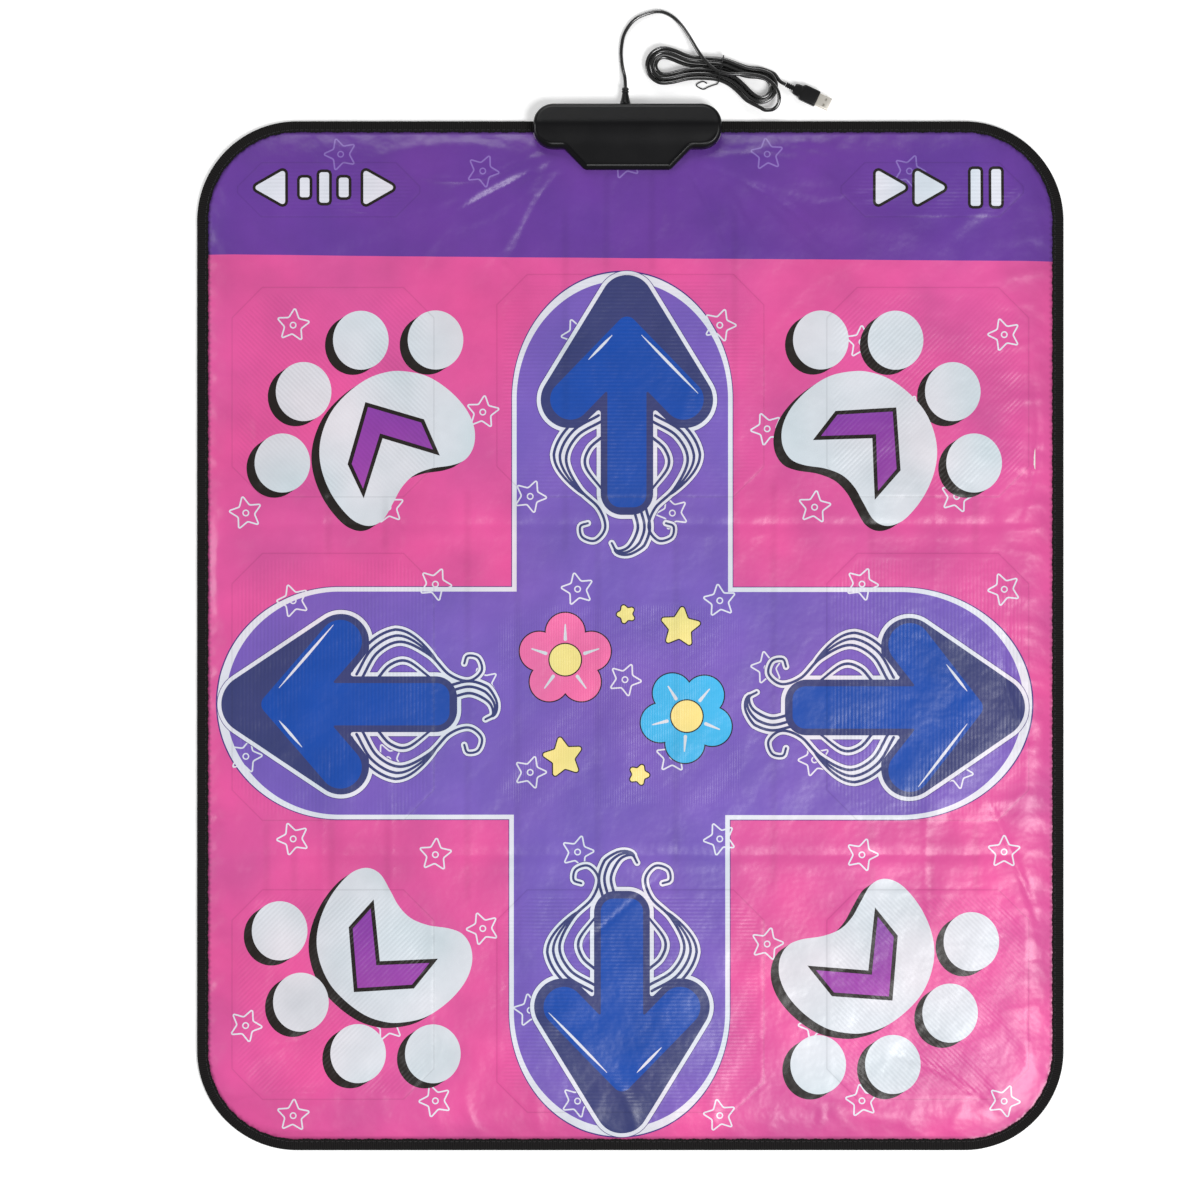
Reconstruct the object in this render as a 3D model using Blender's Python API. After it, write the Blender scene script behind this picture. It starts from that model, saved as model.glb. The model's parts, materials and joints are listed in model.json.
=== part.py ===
"""Fold-up dance mat controller, built from its sheets, step zones, control housing and lead.

The mat lies on the floor with its underside at z = 0 and the middle of its outline at the origin.
+Y runs towards the control housing, +X to the right of someone who faces the housing.
"""

import math

import bmesh
import bpy
from mathutils import Matrix, Vector

MM = 0.001

# Fits
CLEARANCE = 0.3 * MM
CUT_OVERRUN = 5 * MM

# Mat outline and edge
MAT_WIDTH = 800 * MM
MAT_LENGTH = 950 * MM
CORNER_RADIUS = 92 * MM
CORNER_STEPS = 10
BINDING_WIDTH = 10.5 * MM
BINDING_THICKNESS = 0.9 * MM
RIM_SLOPE = 15 * MM
BASE_SLOPE = 4 * MM

# Sheets, from the floor up
BASE_THICKNESS = 1.0 * MM
CUSHION_THICKNESS = 3.0 * MM
FILM_THICKNESS = 0.4 * MM
SPACER_THICKNESS = 1.6 * MM
COVER_THICKNESS = 0.8 * MM

# Fold lines across the mat, and the room that the folded panels need
TOP_PANEL_LENGTH = 373 * MM
BOTTOM_PANEL_LENGTH = 273 * MM
UPPER_FOLD_Y = MAT_LENGTH / 2 - TOP_PANEL_LENGTH
LOWER_FOLD_Y = BOTTOM_PANEL_LENGTH - MAT_LENGTH / 2
FOLD_CHANNEL = 14 * MM
FOLD_ROOM = 2.0 * MM

# Step zones
ZONE_CHAMFER = 28 * MM
ZONE_CROWN = 1.2 * MM
ZONE_CROWN_SHARES = ((0.0, 0.0), (0.12, 0.7), (0.36, 1.0))
SIDE_COLUMN_FROM_EDGE = 126 * MM
SIDE_COLUMN_X = MAT_WIDTH / 2 - SIDE_COLUMN_FROM_EDGE
SIDE_ZONE_WIDTH = 186 * MM
MIDDLE_ZONE_WIDTH = 246 * MM
UPPER_FOLD_BORDER = 26 * MM
LOWER_FOLD_BORDER = 32 * MM
ARROW_ZONE_LENGTH = 205 * MM
CORNER_ZONE_LENGTH = 193 * MM
MENU_FROM_SIDE = 122 * MM
MENU_FROM_TOP = 64 * MM
MENU_ZONE_X = MAT_WIDTH / 2 - MENU_FROM_SIDE
MENU_ZONE_Y = MAT_LENGTH / 2 - MENU_FROM_TOP
MENU_ZONE_WIDTH = 168 * MM
MENU_ZONE_LENGTH = 50 * MM
MENU_CHAMFER = 22 * MM
FILM_MARGIN = 3 * MM

# Control housing
HOUSING_X = -2.7 * MM
HOUSING_LENGTH = 173 * MM
HOUSING_OVERHANG = 15 * MM
HOUSING_BACK_Y = MAT_LENGTH / 2 + HOUSING_OVERHANG
HOUSING_BAR_DEPTH = 41.5 * MM
HOUSING_END_RADIUS = 18.5 * MM
HOUSING_HEIGHT = 20 * MM
HOUSING_BACK_HEIGHT = 15 * MM
HOUSING_FRONT_HEIGHT = 13.5 * MM
HOUSING_RIDGE_FROM_BACK = 19.5 * MM
HOUSING_WALL = 2.0 * MM
HOUSING_EDGE = 2.4 * MM
TONGUE_DEPTH = 19.5 * MM
TONGUE_SHOULDER = 9.5 * MM
TONGUE_TAPER = 19 * MM
TONGUE_BACK_WIDTH = HOUSING_LENGTH - 2 * (HOUSING_END_RADIUS + TONGUE_SHOULDER)
TONGUE_FRONT_WIDTH = TONGUE_BACK_WIDTH - 2 * TONGUE_TAPER
TONGUE_FILLET = 6 * MM
PARTING_Z = 7.0 * MM
BASE_FLOOR = 1.6 * MM

# Screws and bosses of the housing
SCREW_FROM_END = (13.5 * MM, 34.5 * MM)
SCREW_FROM_BACK = (12 * MM, 30 * MM)
SCREW_RADIUS = 1.1 * MM
SCREW_HEAD_RADIUS = 2.6 * MM
SCREW_HEAD_HEIGHT = 1.1 * MM
SCREW_LENGTH = 9 * MM
BOSS_RADIUS = 3.4 * MM

# Circuit board, its parts and the film tail
BOARD_WIDTH = 72 * MM
BOARD_DEPTH = 24 * MM
BOARD_THICKNESS = 1.2 * MM
BOARD_FROM_FRONT = 4 * MM
TAIL_WIDTH = 40 * MM
TAIL_REACH = 10.5 * MM
CLAMP_DEPTH = 6 * MM
CLAMP_HEIGHT = 2.6 * MM
CHIP_RADIUS = 6 * MM
CHIP_HEIGHT = 1.6 * MM
CAPACITOR_RADIUS = 2.2 * MM
CAPACITOR_LENGTH = 7 * MM
PART_SPREAD = 24 * MM

# Gland and lead
GLAND_OFFSET_X = -2.0 * MM
GLAND_LENGTH = 15.3 * MM
GLAND_ROOT_RADIUS = 4.8 * MM
GLAND_TIP_RADIUS = 2.9 * MM
GLAND_NECK_RADIUS = 3.0 * MM
GLAND_RING_RADIUS = 0.5 * MM
GLAND_COLLAR_LENGTH = 5 * MM
GLAND_TAPER_END = GLAND_LENGTH - GLAND_COLLAR_LENGTH
GLAND_RINGS = 2
GLAND_RING_PITCH = 2.3 * MM
CORD_RADIUS = 1.75 * MM
CORD_STEP = 2.5

# Hank of the lead, its tie placed in millimetres from the gland
HANK_TIE = (88.2, 32.6)
HANK_PITCH = 4.2 * MM
HANK_WAIST = 11.2 * MM
HANK_LAYER_LOOPS = 2.5
HANK_LOBE_RADIUS = 18.2 * MM
HANK_LEFT_END = 72.0 * MM
HANK_RIGHT_END = 60.0 * MM
HANK_LEFT_TILT = math.radians(-4)
HANK_RIGHT_TILT = math.radians(-24)
HANK_BEND_HALF = 26 * MM
HANK_LOBE_OPENING = math.radians(112)
HANK_RUN_HANDLE = 0.42
HANK_RUN_STEPS = 3
HANK_ARC_STEPS = 6
HANK_START_STEP = 8
HANK_STEPS = 116
HANK_CLIMB = 0.16
TIE_WIRE_RADIUS = 0.6 * MM
TIE_LIFT_REACH = 26 * MM
TIE_STEP = 3 * MM

# Plug, placed in millimetres from the gland
PLUG_RELIEF_START = (148.3, 18.6)
PLUG_DIRECTION = math.radians(-25)
RELIEF_LENGTH = 8 * MM
RELIEF_RADIUS = 2.7 * MM
RELIEF_RIBS = 3
RELIEF_NECK_RADIUS = CORD_RADIUS + 2 * CLEARANCE
RELIEF_PROFILE = (
    (0.0, RELIEF_RADIUS),
    (0.5, RELIEF_RADIUS),
    (0.6, RELIEF_NECK_RADIUS),
    (0.9, RELIEF_NECK_RADIUS),
)
ROUND_SHARE = 0.98
PLUG_BODY_LENGTH = 24 * MM
PLUG_BODY_WIDTH = 15 * MM
PLUG_BODY_HEIGHT = 7.8 * MM
PLUG_EDGE_SHARE = 0.24
PLUG_BODY_PROFILE = (
    (0.0, 0.62, 0.74),
    (0.08, 0.78, 0.82),
    (0.24, 0.78, 0.82),
    (0.36, 1.0, 1.0),
    (0.97, 1.0, 1.0),
    (1.0, 0.94, 0.88),
)
PLUG_SHELL_LENGTH = 12 * MM
PLUG_SHELL_WIDTH = 12 * MM
PLUG_SHELL_HEIGHT = 4.5 * MM
PLUG_SHELL_WALL = 0.4 * MM
PLUG_TONGUE_THICKNESS = 1.7 * MM
PLUG_CORNERS = ((1, -1), (1, 1), (-1, 1), (-1, -1))

# Heights that follow from the sheets
BASE_TOP = BASE_THICKNESS
CUSHION_BOTTOM = BASE_TOP + CLEARANCE
CUSHION_TOP = CUSHION_BOTTOM + CUSHION_THICKNESS
FILM_BOTTOM = CUSHION_TOP + CLEARANCE
FILM_TOP = FILM_BOTTOM + FILM_THICKNESS
SPACER_BOTTOM = FILM_TOP + CLEARANCE
SPACER_TOP = SPACER_BOTTOM + SPACER_THICKNESS
CONTACT_BOTTOM = SPACER_TOP + CLEARANCE
CONTACT_TOP = CONTACT_BOTTOM + FILM_THICKNESS
COVER_BOTTOM = CONTACT_TOP + CLEARANCE
COVER_TOP = COVER_BOTTOM + COVER_THICKNESS
PRESS_TRAVEL = CONTACT_BOTTOM - FILM_TOP - CLEARANCE

# Edge stack, pinched between the two flanges of the binding
RIM_BASE_BOTTOM = BINDING_THICKNESS + CLEARANCE
RIM_COVER_BOTTOM = RIM_BASE_BOTTOM + BASE_THICKNESS + CLEARANCE
RIM_COVER_TOP = RIM_COVER_BOTTOM + COVER_THICKNESS
BINDING_TOP = RIM_COVER_TOP + CLEARANCE + BINDING_THICKNESS
SHEET_INSET = BINDING_THICKNESS + CLEARANCE
RIM_INNER = BINDING_WIDTH + CLEARANCE
SLOPE_INNER = RIM_INNER + RIM_SLOPE
LAYER_INSET = SLOPE_INNER + BINDING_THICKNESS

# Hinge lines: the lower panel folds onto the middle one, and both fold onto the upper one
LOWER_AXIS_Z = COVER_TOP + ZONE_CROWN + FOLD_ROOM / 2
UPPER_AXIS_Z = max(
    LOWER_AXIS_Z + (COVER_TOP + ZONE_CROWN + FOLD_ROOM / 2) / 2,
    (HOUSING_HEIGHT + COVER_TOP + ZONE_CROWN + FOLD_ROOM) / 2,
)

# Housing places
HOUSING_FRONT_Y = HOUSING_BACK_Y - HOUSING_BAR_DEPTH
LIP_Z = COVER_TOP + CLEARANCE
GLAND_X = HOUSING_X + GLAND_OFFSET_X
GLAND_Z = PARTING_Z - CLEARANCE / 2
BOARD_BOTTOM = FILM_BOTTOM - CLEARANCE - BOARD_THICKNESS
BOARD_TOP = BOARD_BOTTOM + BOARD_THICKNESS
BOARD_FRONT_Y = HOUSING_FRONT_Y + HOUSING_WALL + BOARD_FROM_FRONT

# Heights of the lead and its plug on the floor
FLOOR_PLAY = 0.1 * MM
FLOOR_RADIUS = CORD_RADIUS + FLOOR_PLAY
PLUG_AXIS_Z = PLUG_BODY_HEIGHT / 2 + FLOOR_PLAY

PANELS = {
    "top": (UPPER_FOLD_Y, None),
    "middle": (LOWER_FOLD_Y, UPPER_FOLD_Y),
    "bottom": (None, LOWER_FOLD_Y),
}

# Free part of the lead to the hank in millimetres from the gland: floor, waist, right lobe
LEAD_ROUTE = (
    (-0.7, 26.5, 5.6),
    (-2.9, 37.0, 2.6),
    (-3.7, 51.0, 1.9),
    (-0.5, 66.5, 1.9),
    (10.2, 80.0, 1.9),
    (28.7, 86.4, 1.9),
    (41.5, 83.0, 2.2),
    (51.2, 74.0, 4.0),
    (59.2, 62.0, 7.4),
    (67.2, 48.0, 10.7),
    (75.7, 37.0, 11.5),
    (85.7, 29.4, 11.9),
    (96.7, 27.2, 11.5),
    (107.7, 27.4, 10.8),
    (118.7, 26.4, 10.4),
    (128.2, 24.0, 10.2),
    (135.3, 19.0, 10.2),
    (139.9, 12.6, 10.2),
    (141.6, 6.2, 10.0),
    (137.9, 1.0, 8.4),
    (133.3, -1.6, 6.9),
)

# Tail of the wire tie in millimetres from the gland, with a small loop on the floor
TIE_TAIL = (
    (84.9, 19.6),
    (80.7, 18.4),
    (76.2, 16.7),
    (71.7, 14.8),
    (65.7, 18.6),
    (71.3, 22.0),
    (75.7, 20.2),
)


def clear_scene():
    """Remove every object, so that the model starts from nothing."""
    for old in list(bpy.data.objects):
        bpy.data.objects.remove(old)


def make_material(name, colour, roughness, metallic=0.0):
    """Return a Principled BSDF material of one linear colour."""
    material = bpy.data.materials.new(name)
    material.use_nodes = True
    shader = material.node_tree.nodes["Principled BSDF"]
    shader.inputs["Base Color"].default_value = (*colour, 1.0)
    shader.inputs["Roughness"].default_value = roughness
    shader.inputs["Metallic"].default_value = metallic
    return material


def make_pivot(name, place, parent=None):
    """Return an empty that stands on a joint's axis."""
    pivot = bpy.data.objects.new(name, None)
    pivot.location = Vector(place) - world_place(parent)
    pivot.parent = parent
    bpy.context.scene.collection.objects.link(pivot)
    return pivot


def world_place(item):
    """Return where an object's origin stands, adding up its parents' places."""
    place = Vector((0, 0, 0))
    while item is not None:
        place += item.location
        item = item.parent
    return place


def make_object(name, mesh_maker, material, parent=None, place=(0, 0, 0)):
    """Turn a bmesh in world coordinates into an object whose origin is at place."""
    bmesh.ops.recalc_face_normals(mesh_maker, faces=mesh_maker.faces[:])
    bmesh.ops.translate(mesh_maker, verts=mesh_maker.verts[:], vec=-Vector(place))
    mesh = bpy.data.meshes.new(name)
    mesh_maker.to_mesh(mesh)
    mesh_maker.free()
    item = bpy.data.objects.new(name, mesh)
    item.location = Vector(place) - world_place(parent)
    item.parent = parent
    if material is not None:
        mesh.materials.append(material)
    bpy.context.scene.collection.objects.link(item)
    return item


def smooth(item, angle=35):
    """Shade an object smooth, with its sharp edges kept."""
    item.data.shade_smooth()
    item.data.set_sharp_from_angle(angle=math.radians(angle))


def combine(item, cutter, operation):
    """Cut an object with a hidden shape, join the two, or keep what they share."""
    cutter.hide_render = True
    cutter.display_type = "WIRE"
    step = item.modifiers.new(cutter.name, "BOOLEAN")
    step.operation = operation
    step.object = cutter


def rounded_polygon(corners, steps=6):
    """Return the points of a polygon whose corners (x, y, radius) are rounded by arcs."""
    points = []
    count = len(corners)
    for index, (x, y, radius) in enumerate(corners):
        here = Vector((x, y))
        before = (Vector(corners[index - 1][:2]) - here).normalized()
        after = (Vector(corners[(index + 1) % count][:2]) - here).normalized()
        if radius <= 0:
            points.append(here)
            continue
        half = before.angle(after) / 2
        centre = here + (before + after).normalized() * radius / math.sin(half)
        start = here + before * radius / math.tan(half) - centre
        finish = here + after * radius / math.tan(half) - centre
        turn = start.angle_signed(finish)
        for step in range(steps + 1):
            points.append(centre + Matrix.Rotation(-turn * step / steps, 2) @ start)
    return points


def offset_outline(points, distance):
    """Move each point of a counter-clockwise outline outwards by distance."""
    moved = []
    for index, here in enumerate(points):
        back = (here - points[index - 1]).normalized()
        ahead = (points[(index + 1) % len(points)] - here).normalized()
        normal = Vector((back.y + ahead.y, -back.x - ahead.x)).normalized()
        lean = max(0.5, normal.dot(Vector((ahead.y, -ahead.x))))
        moved.append(here + normal * distance / lean)
    return moved


def mat_outline(inset):
    """Return the mat's rounded outline, drawn in by inset."""
    half_x = MAT_WIDTH / 2 - inset
    half_y = MAT_LENGTH / 2 - inset
    radius = CORNER_RADIUS - inset
    corners = ((half_x, -half_y), (half_x, half_y), (-half_x, half_y), (-half_x, -half_y))
    return rounded_polygon([(x, y, radius) for x, y in corners], CORNER_STEPS)


def octagon(centre, width, length, chamfer, inset=0.0):
    """Return an octagon: a rectangle with chamfered corners, drawn in by inset."""
    half_x = width / 2 - inset
    half_y = length / 2 - inset
    cut = chamfer - inset * (2 - math.sqrt(2))
    quarter = ((half_x, half_y - cut), (half_x - cut, half_y))
    points = list(quarter)
    points += [(-x, y) for x, y in reversed(quarter)]
    points += [(-x, -y) for x, y in quarter]
    points += [(x, -y) for x, y in reversed(quarter)]
    return [Vector((centre[0] + x, centre[1] + y)) for x, y in points]


def loft(sections, closed=False):
    """Return a bmesh through matching loops of points, capped unless it closes on itself."""
    maker = bmesh.new()
    rings = [[maker.verts.new(point) for point in section] for section in sections]
    pairs = list(zip(rings, rings[1:] + rings[:1])) if closed else list(zip(rings, rings[1:]))
    for low, high in pairs:
        for index in range(len(low)):
            after = (index + 1) % len(low)
            maker.faces.new((low[index], low[after], high[after], high[index]))
    if not closed:
        maker.faces.new(rings[0])
        maker.faces.new(rings[-1])
    return maker


def prism(outline, low, high):
    """Return a bmesh of an outline extruded from one height to another."""
    return loft([[(x, y, z) for x, y in outline] for z in (low, high)])


def block(low, high):
    """Return a bmesh of a box between two corners."""
    outline = ((low[0], low[1]), (high[0], low[1]), (high[0], high[1]), (low[0], high[1]))
    return prism(outline, low[2], high[2])


def turned(profile, sides, place, axis="Z"):
    """Return a bmesh turned from (radius, distance) pairs round an axis through place."""
    turn = {"Z": Matrix.Identity(3), "Y": Matrix.Rotation(math.radians(-90), 3, "X")}[axis]
    sections = []
    for radius, along in profile:
        ring = []
        for side in range(sides):
            angle = 2 * math.pi * side / sides
            point = Vector((radius * math.cos(angle), radius * math.sin(angle), along))
            ring.append(turn @ point + Vector(place))
        sections.append(ring)
    return loft(sections)


def panel_cutter(panel, inset, low_z, high_z):
    """Return a box that spans one folding panel, drawn in from its fold lines by inset."""
    low_y, high_y = PANELS[panel]
    low_y = -MAT_LENGTH if low_y is None else low_y + inset
    high_y = MAT_LENGTH if high_y is None else high_y - inset
    maker = block((-MAT_WIDTH, low_y, low_z), (MAT_WIDTH, high_y, high_z))
    return make_object(f"{panel}_panel_cutter", maker, None)


def housing_bar(grow=0.0):
    """Return the outline of the housing's rounded bar, grown outwards by grow."""
    half = HOUSING_LENGTH / 2 + grow
    front = HOUSING_FRONT_Y - grow
    back = HOUSING_BACK_Y + grow
    radius = HOUSING_END_RADIUS + grow
    corners = ((half, front), (half, back), (-half, back), (-half, front))
    return rounded_polygon([(HOUSING_X + x, y, radius) for x, y in corners])


def housing_outline():
    """Return the upper shell's outline: the bar with a tapered tongue over the mat."""
    half = HOUSING_LENGTH / 2
    tip_y = HOUSING_FRONT_Y - TONGUE_DEPTH
    right = (
        (TONGUE_FRONT_WIDTH / 2, tip_y, TONGUE_FILLET),
        (TONGUE_BACK_WIDTH / 2, HOUSING_FRONT_Y, TONGUE_FILLET),
        (half, HOUSING_FRONT_Y, HOUSING_END_RADIUS),
        (half, HOUSING_BACK_Y, HOUSING_END_RADIUS),
    )
    left = [(-x, y, radius) for x, y, radius in reversed(right)]
    return rounded_polygon([(HOUSING_X + x, y, r) for x, y, r in (*right, *left)])


def notch_cutter():
    """Return the shape that the housing takes out of the mat's sheets."""
    maker = prism(housing_bar(CLEARANCE), -CUT_OVERRUN, HOUSING_HEIGHT)
    return make_object("housing_notch_cutter", maker, None)


def sheet_panel(name, panel, sections, inset, material, parent, place):
    """Return one panel of a sheet that is lofted over the whole mat and cut at the folds."""
    item = make_object(name, loft(sections), material, parent, place)
    combine(item, panel_cutter(panel, inset, -CUT_OVERRUN, HOUSING_HEIGHT), "INTERSECT")
    if panel == "top":
        combine(item, notch_cutter(), "DIFFERENCE")
    return item


def at_height(outline, z):
    """Return an outline's points at one height."""
    return [(x, y, z) for x, y in outline]


def cover_sections():
    """Return the cover's loops: a flat field whose edge is drawn down into the binding."""
    return [
        at_height(mat_outline(SLOPE_INNER), COVER_BOTTOM),
        at_height(mat_outline(RIM_INNER), RIM_COVER_BOTTOM),
        at_height(mat_outline(SHEET_INSET), RIM_COVER_BOTTOM),
        at_height(mat_outline(SHEET_INSET), RIM_COVER_TOP),
        at_height(mat_outline(RIM_INNER), RIM_COVER_TOP),
        at_height(mat_outline(SLOPE_INNER), COVER_TOP),
    ]


def base_sections():
    """Return the base cloth's loops: flat on the floor, its edge lifted over the binding."""
    return [
        at_height(mat_outline(RIM_INNER + BASE_SLOPE), 0),
        at_height(mat_outline(RIM_INNER), RIM_BASE_BOTTOM),
        at_height(mat_outline(SHEET_INSET), RIM_BASE_BOTTOM),
        at_height(mat_outline(SHEET_INSET), RIM_BASE_BOTTOM + BASE_THICKNESS),
        at_height(mat_outline(RIM_INNER), RIM_BASE_BOTTOM + BASE_THICKNESS),
        at_height(mat_outline(RIM_INNER + BASE_SLOPE), BASE_TOP),
    ]


def binding_sections():
    """Return the binding's loops: a tape folded round the edge of the sheets."""
    wall = BINDING_THICKNESS
    profile = (
        (BINDING_WIDTH, 0),
        (wall / 2, 0),
        (0, wall / 2),
        (0, BINDING_TOP - wall / 2),
        (wall / 2, BINDING_TOP),
        (BINDING_WIDTH, BINDING_TOP),
        (BINDING_WIDTH, BINDING_TOP - wall),
        (wall, BINDING_TOP - wall),
        (wall, wall),
        (BINDING_WIDTH, wall),
    )
    return [at_height(mat_outline(inset), z) for inset, z in profile]


def step_zones():
    """Return each step zone as name: (panel, centre, width, length, chamfer)."""
    upper_edge = UPPER_FOLD_Y + UPPER_FOLD_BORDER
    lower_edge = LOWER_FOLD_Y - LOWER_FOLD_BORDER
    middle_low = LOWER_FOLD_Y + LOWER_FOLD_BORDER
    middle_high = UPPER_FOLD_Y - UPPER_FOLD_BORDER
    middle_y = (middle_low + middle_high) / 2
    middle_length = middle_high - middle_low
    arrow = (MIDDLE_ZONE_WIDTH, ARROW_ZONE_LENGTH)
    zones = {
        "up": ("top", (0, upper_edge + ARROW_ZONE_LENGTH / 2), *arrow),
        "down": ("bottom", (0, lower_edge - ARROW_ZONE_LENGTH / 2), *arrow),
    }
    for side, sign in (("left", -1), ("right", 1)):
        x = sign * SIDE_COLUMN_X
        corner = (SIDE_ZONE_WIDTH, CORNER_ZONE_LENGTH)
        zones[side] = ("middle", (x, middle_y), SIDE_ZONE_WIDTH, middle_length)
        zones[f"upper_{side}"] = ("top", (x, upper_edge + CORNER_ZONE_LENGTH / 2), *corner)
        zones[f"lower_{side}"] = ("bottom", (x, lower_edge - CORNER_ZONE_LENGTH / 2), *corner)
    zones = {name: (*zone, ZONE_CHAMFER) for name, zone in zones.items()}
    for name, sign in (("select", -1), ("start", 1)):
        centre = (sign * MENU_ZONE_X, MENU_ZONE_Y)
        zones[name] = ("top", centre, MENU_ZONE_WIDTH, MENU_ZONE_LENGTH, MENU_CHAMFER)
    return zones


def cut_windows(item, panel, grow):
    """Cut an opening in a sheet for each step zone of its panel."""
    for name, (zone_panel, centre, width, length, chamfer) in step_zones().items():
        if zone_panel == panel:
            outline = octagon(centre, width, length, chamfer, -grow)
            maker = prism(outline, -CUT_OVERRUN, HOUSING_HEIGHT)
            cutter = make_object(f"{name}_window_cutter", maker, None)
            combine(item, cutter, "DIFFERENCE")


def make_zone(name, zone, pivot, materials):
    """Build one step zone: its crowned plate of cover and the contact film under it."""
    _, centre, width, length, chamfer = zone
    place = (*centre, COVER_TOP)
    sections = [at_height(octagon(centre, width, length, chamfer), COVER_BOTTOM)]
    for inward, rise in ZONE_CROWN_SHARES:
        outline = octagon(centre, width, length, chamfer, inward * min(width, length) / 2)
        sections.append(at_height(outline, COVER_TOP + rise * ZONE_CROWN))
    make_object(f"{name}_zone", loft(sections), materials["cover"], pivot, place)
    outline = octagon(centre, width, length, chamfer, FILM_MARGIN)
    maker = prism(outline, CONTACT_BOTTOM, CONTACT_TOP)
    make_object(f"{name}_contact_film", maker, materials["film"], pivot, place)


def make_mat(pivots, materials):
    """Build the sheets, the binding and the step zones of the three folding panels."""
    layer = mat_outline(LAYER_INSET)
    gap = CLEARANCE / 2
    for panel, pivot in pivots.items():
        place = world_place(pivot)
        at = (pivot, place)
        cover = sheet_panel(f"cover_{panel}", panel, cover_sections(), gap, materials["cover"], *at)
        cut_windows(cover, panel, CLEARANCE)
        flat_layers = (
            ("cushion_foam", CUSHION_BOTTOM, CUSHION_TOP, "foam"),
            ("electrode_film", FILM_BOTTOM, FILM_TOP, "film"),
            ("spacer_foam", SPACER_BOTTOM, SPACER_TOP, "foam"),
        )
        for title, low, high, finish in flat_layers:
            sections = [at_height(layer, low), at_height(layer, high)]
            name = f"{title}_{panel}"
            item = sheet_panel(name, panel, sections, FOLD_CHANNEL, materials[finish], *at)
            if title == "spacer_foam":
                cut_windows(item, panel, CLEARANCE)
            if name == "electrode_film_top":
                combine(item, film_tail(), "UNION")
        sheet_panel(f"base_{panel}", panel, base_sections(), gap, materials["base"], *at)
        make_binding(panel, pivot, materials["binding"])
    for name, zone in step_zones().items():
        make_zone(name, zone, pivots[zone[0]], materials)


def make_binding(panel, pivot, material):
    """Build the binding along one panel; the middle panel and the arch have two strips each."""
    place = world_place(pivot)
    sides = (None,) if panel == "bottom" else (("left", -1), ("right", 1))
    for side in sides:
        name = f"binding_{panel}" if side is None else f"binding_{panel}_{side[0]}"
        item = make_object(name, loft(binding_sections(), closed=True), material, pivot, place)
        combine(item, panel_cutter(panel, CLEARANCE / 2, -CUT_OVERRUN, HOUSING_HEIGHT), "INTERSECT")
        if side is None:
            continue
        edge = HOUSING_X + side[1] * (HOUSING_LENGTH / 2 - HOUSING_END_RADIUS)
        ends = sorted((edge, side[1] * MAT_WIDTH))
        maker = block((ends[0], -MAT_LENGTH, -CUT_OVERRUN), (ends[1], MAT_LENGTH, HOUSING_HEIGHT))
        combine(item, make_object(f"{name}_side_cutter", maker, None), "INTERSECT")
        if panel == "top":
            combine(item, notch_cutter(), "DIFFERENCE")


def film_tail():
    """Return the electrode film's tail, which runs into the housing over the board."""
    half = TAIL_WIDTH / 2
    root = MAT_LENGTH / 2 - LAYER_INSET - CUT_OVERRUN
    low = (HOUSING_X - half, root, FILM_BOTTOM)
    high = (HOUSING_X + half, BOARD_FRONT_Y + TAIL_REACH, FILM_TOP)
    return make_object("film_tail_shape", block(low, high), None)


def roof_height(y, drop=0.0):
    """Return the height of the housing's hipped roof at y, less drop."""
    ridge = HOUSING_BACK_Y - HOUSING_RIDGE_FROM_BACK
    if y > ridge:
        share = (y - ridge) / HOUSING_RIDGE_FROM_BACK
        return HOUSING_HEIGHT - share * (HOUSING_HEIGHT - HOUSING_BACK_HEIGHT) - drop
    share = (ridge - y) / (HOUSING_BAR_DEPTH + TONGUE_DEPTH - HOUSING_RIDGE_FROM_BACK)
    return HOUSING_HEIGHT - share * (HOUSING_HEIGHT - HOUSING_FRONT_HEIGHT) - drop


def hipped_prism(outline, low, drop, edge):
    """Return a bmesh of an outline that rises to the two slopes of the roof."""
    maker = prism(outline, low, HOUSING_HEIGHT)
    ridge = Vector((0, HOUSING_BACK_Y - HOUSING_RIDGE_FROM_BACK, 0))
    everything = maker.verts[:] + maker.edges[:] + maker.faces[:]
    bmesh.ops.bisect_plane(maker, geom=everything, plane_co=ridge, plane_no=(0, 1, 0))
    for vert in maker.verts:
        if vert.co.z > low + MM / 10:
            vert.co.z = roof_height(vert.co.y, drop)
    if edge > 0:
        rim = [e for e in maker.edges if is_roof_rim(e, low)]
        bmesh.ops.bevel(maker, geom=rim, offset=edge, segments=3, profile=0.5, affect="EDGES")
    return maker


def is_roof_rim(edge, low):
    """Tell whether an edge lies between the roof and the wall."""
    if min(vert.co.z for vert in edge.verts) < low + MM / 10:
        return False
    return any(abs(face.normal.z) < 0.1 for face in edge.link_faces)


def screw_places():
    """Return the four places of the housing's screws."""
    places = []
    for from_end, depth in zip(SCREW_FROM_END, SCREW_FROM_BACK):
        for sign in (-1, 1):
            x = HOUSING_X + sign * (HOUSING_LENGTH / 2 - from_end)
            places.append((x, HOUSING_BACK_Y - depth))
    return places


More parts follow.
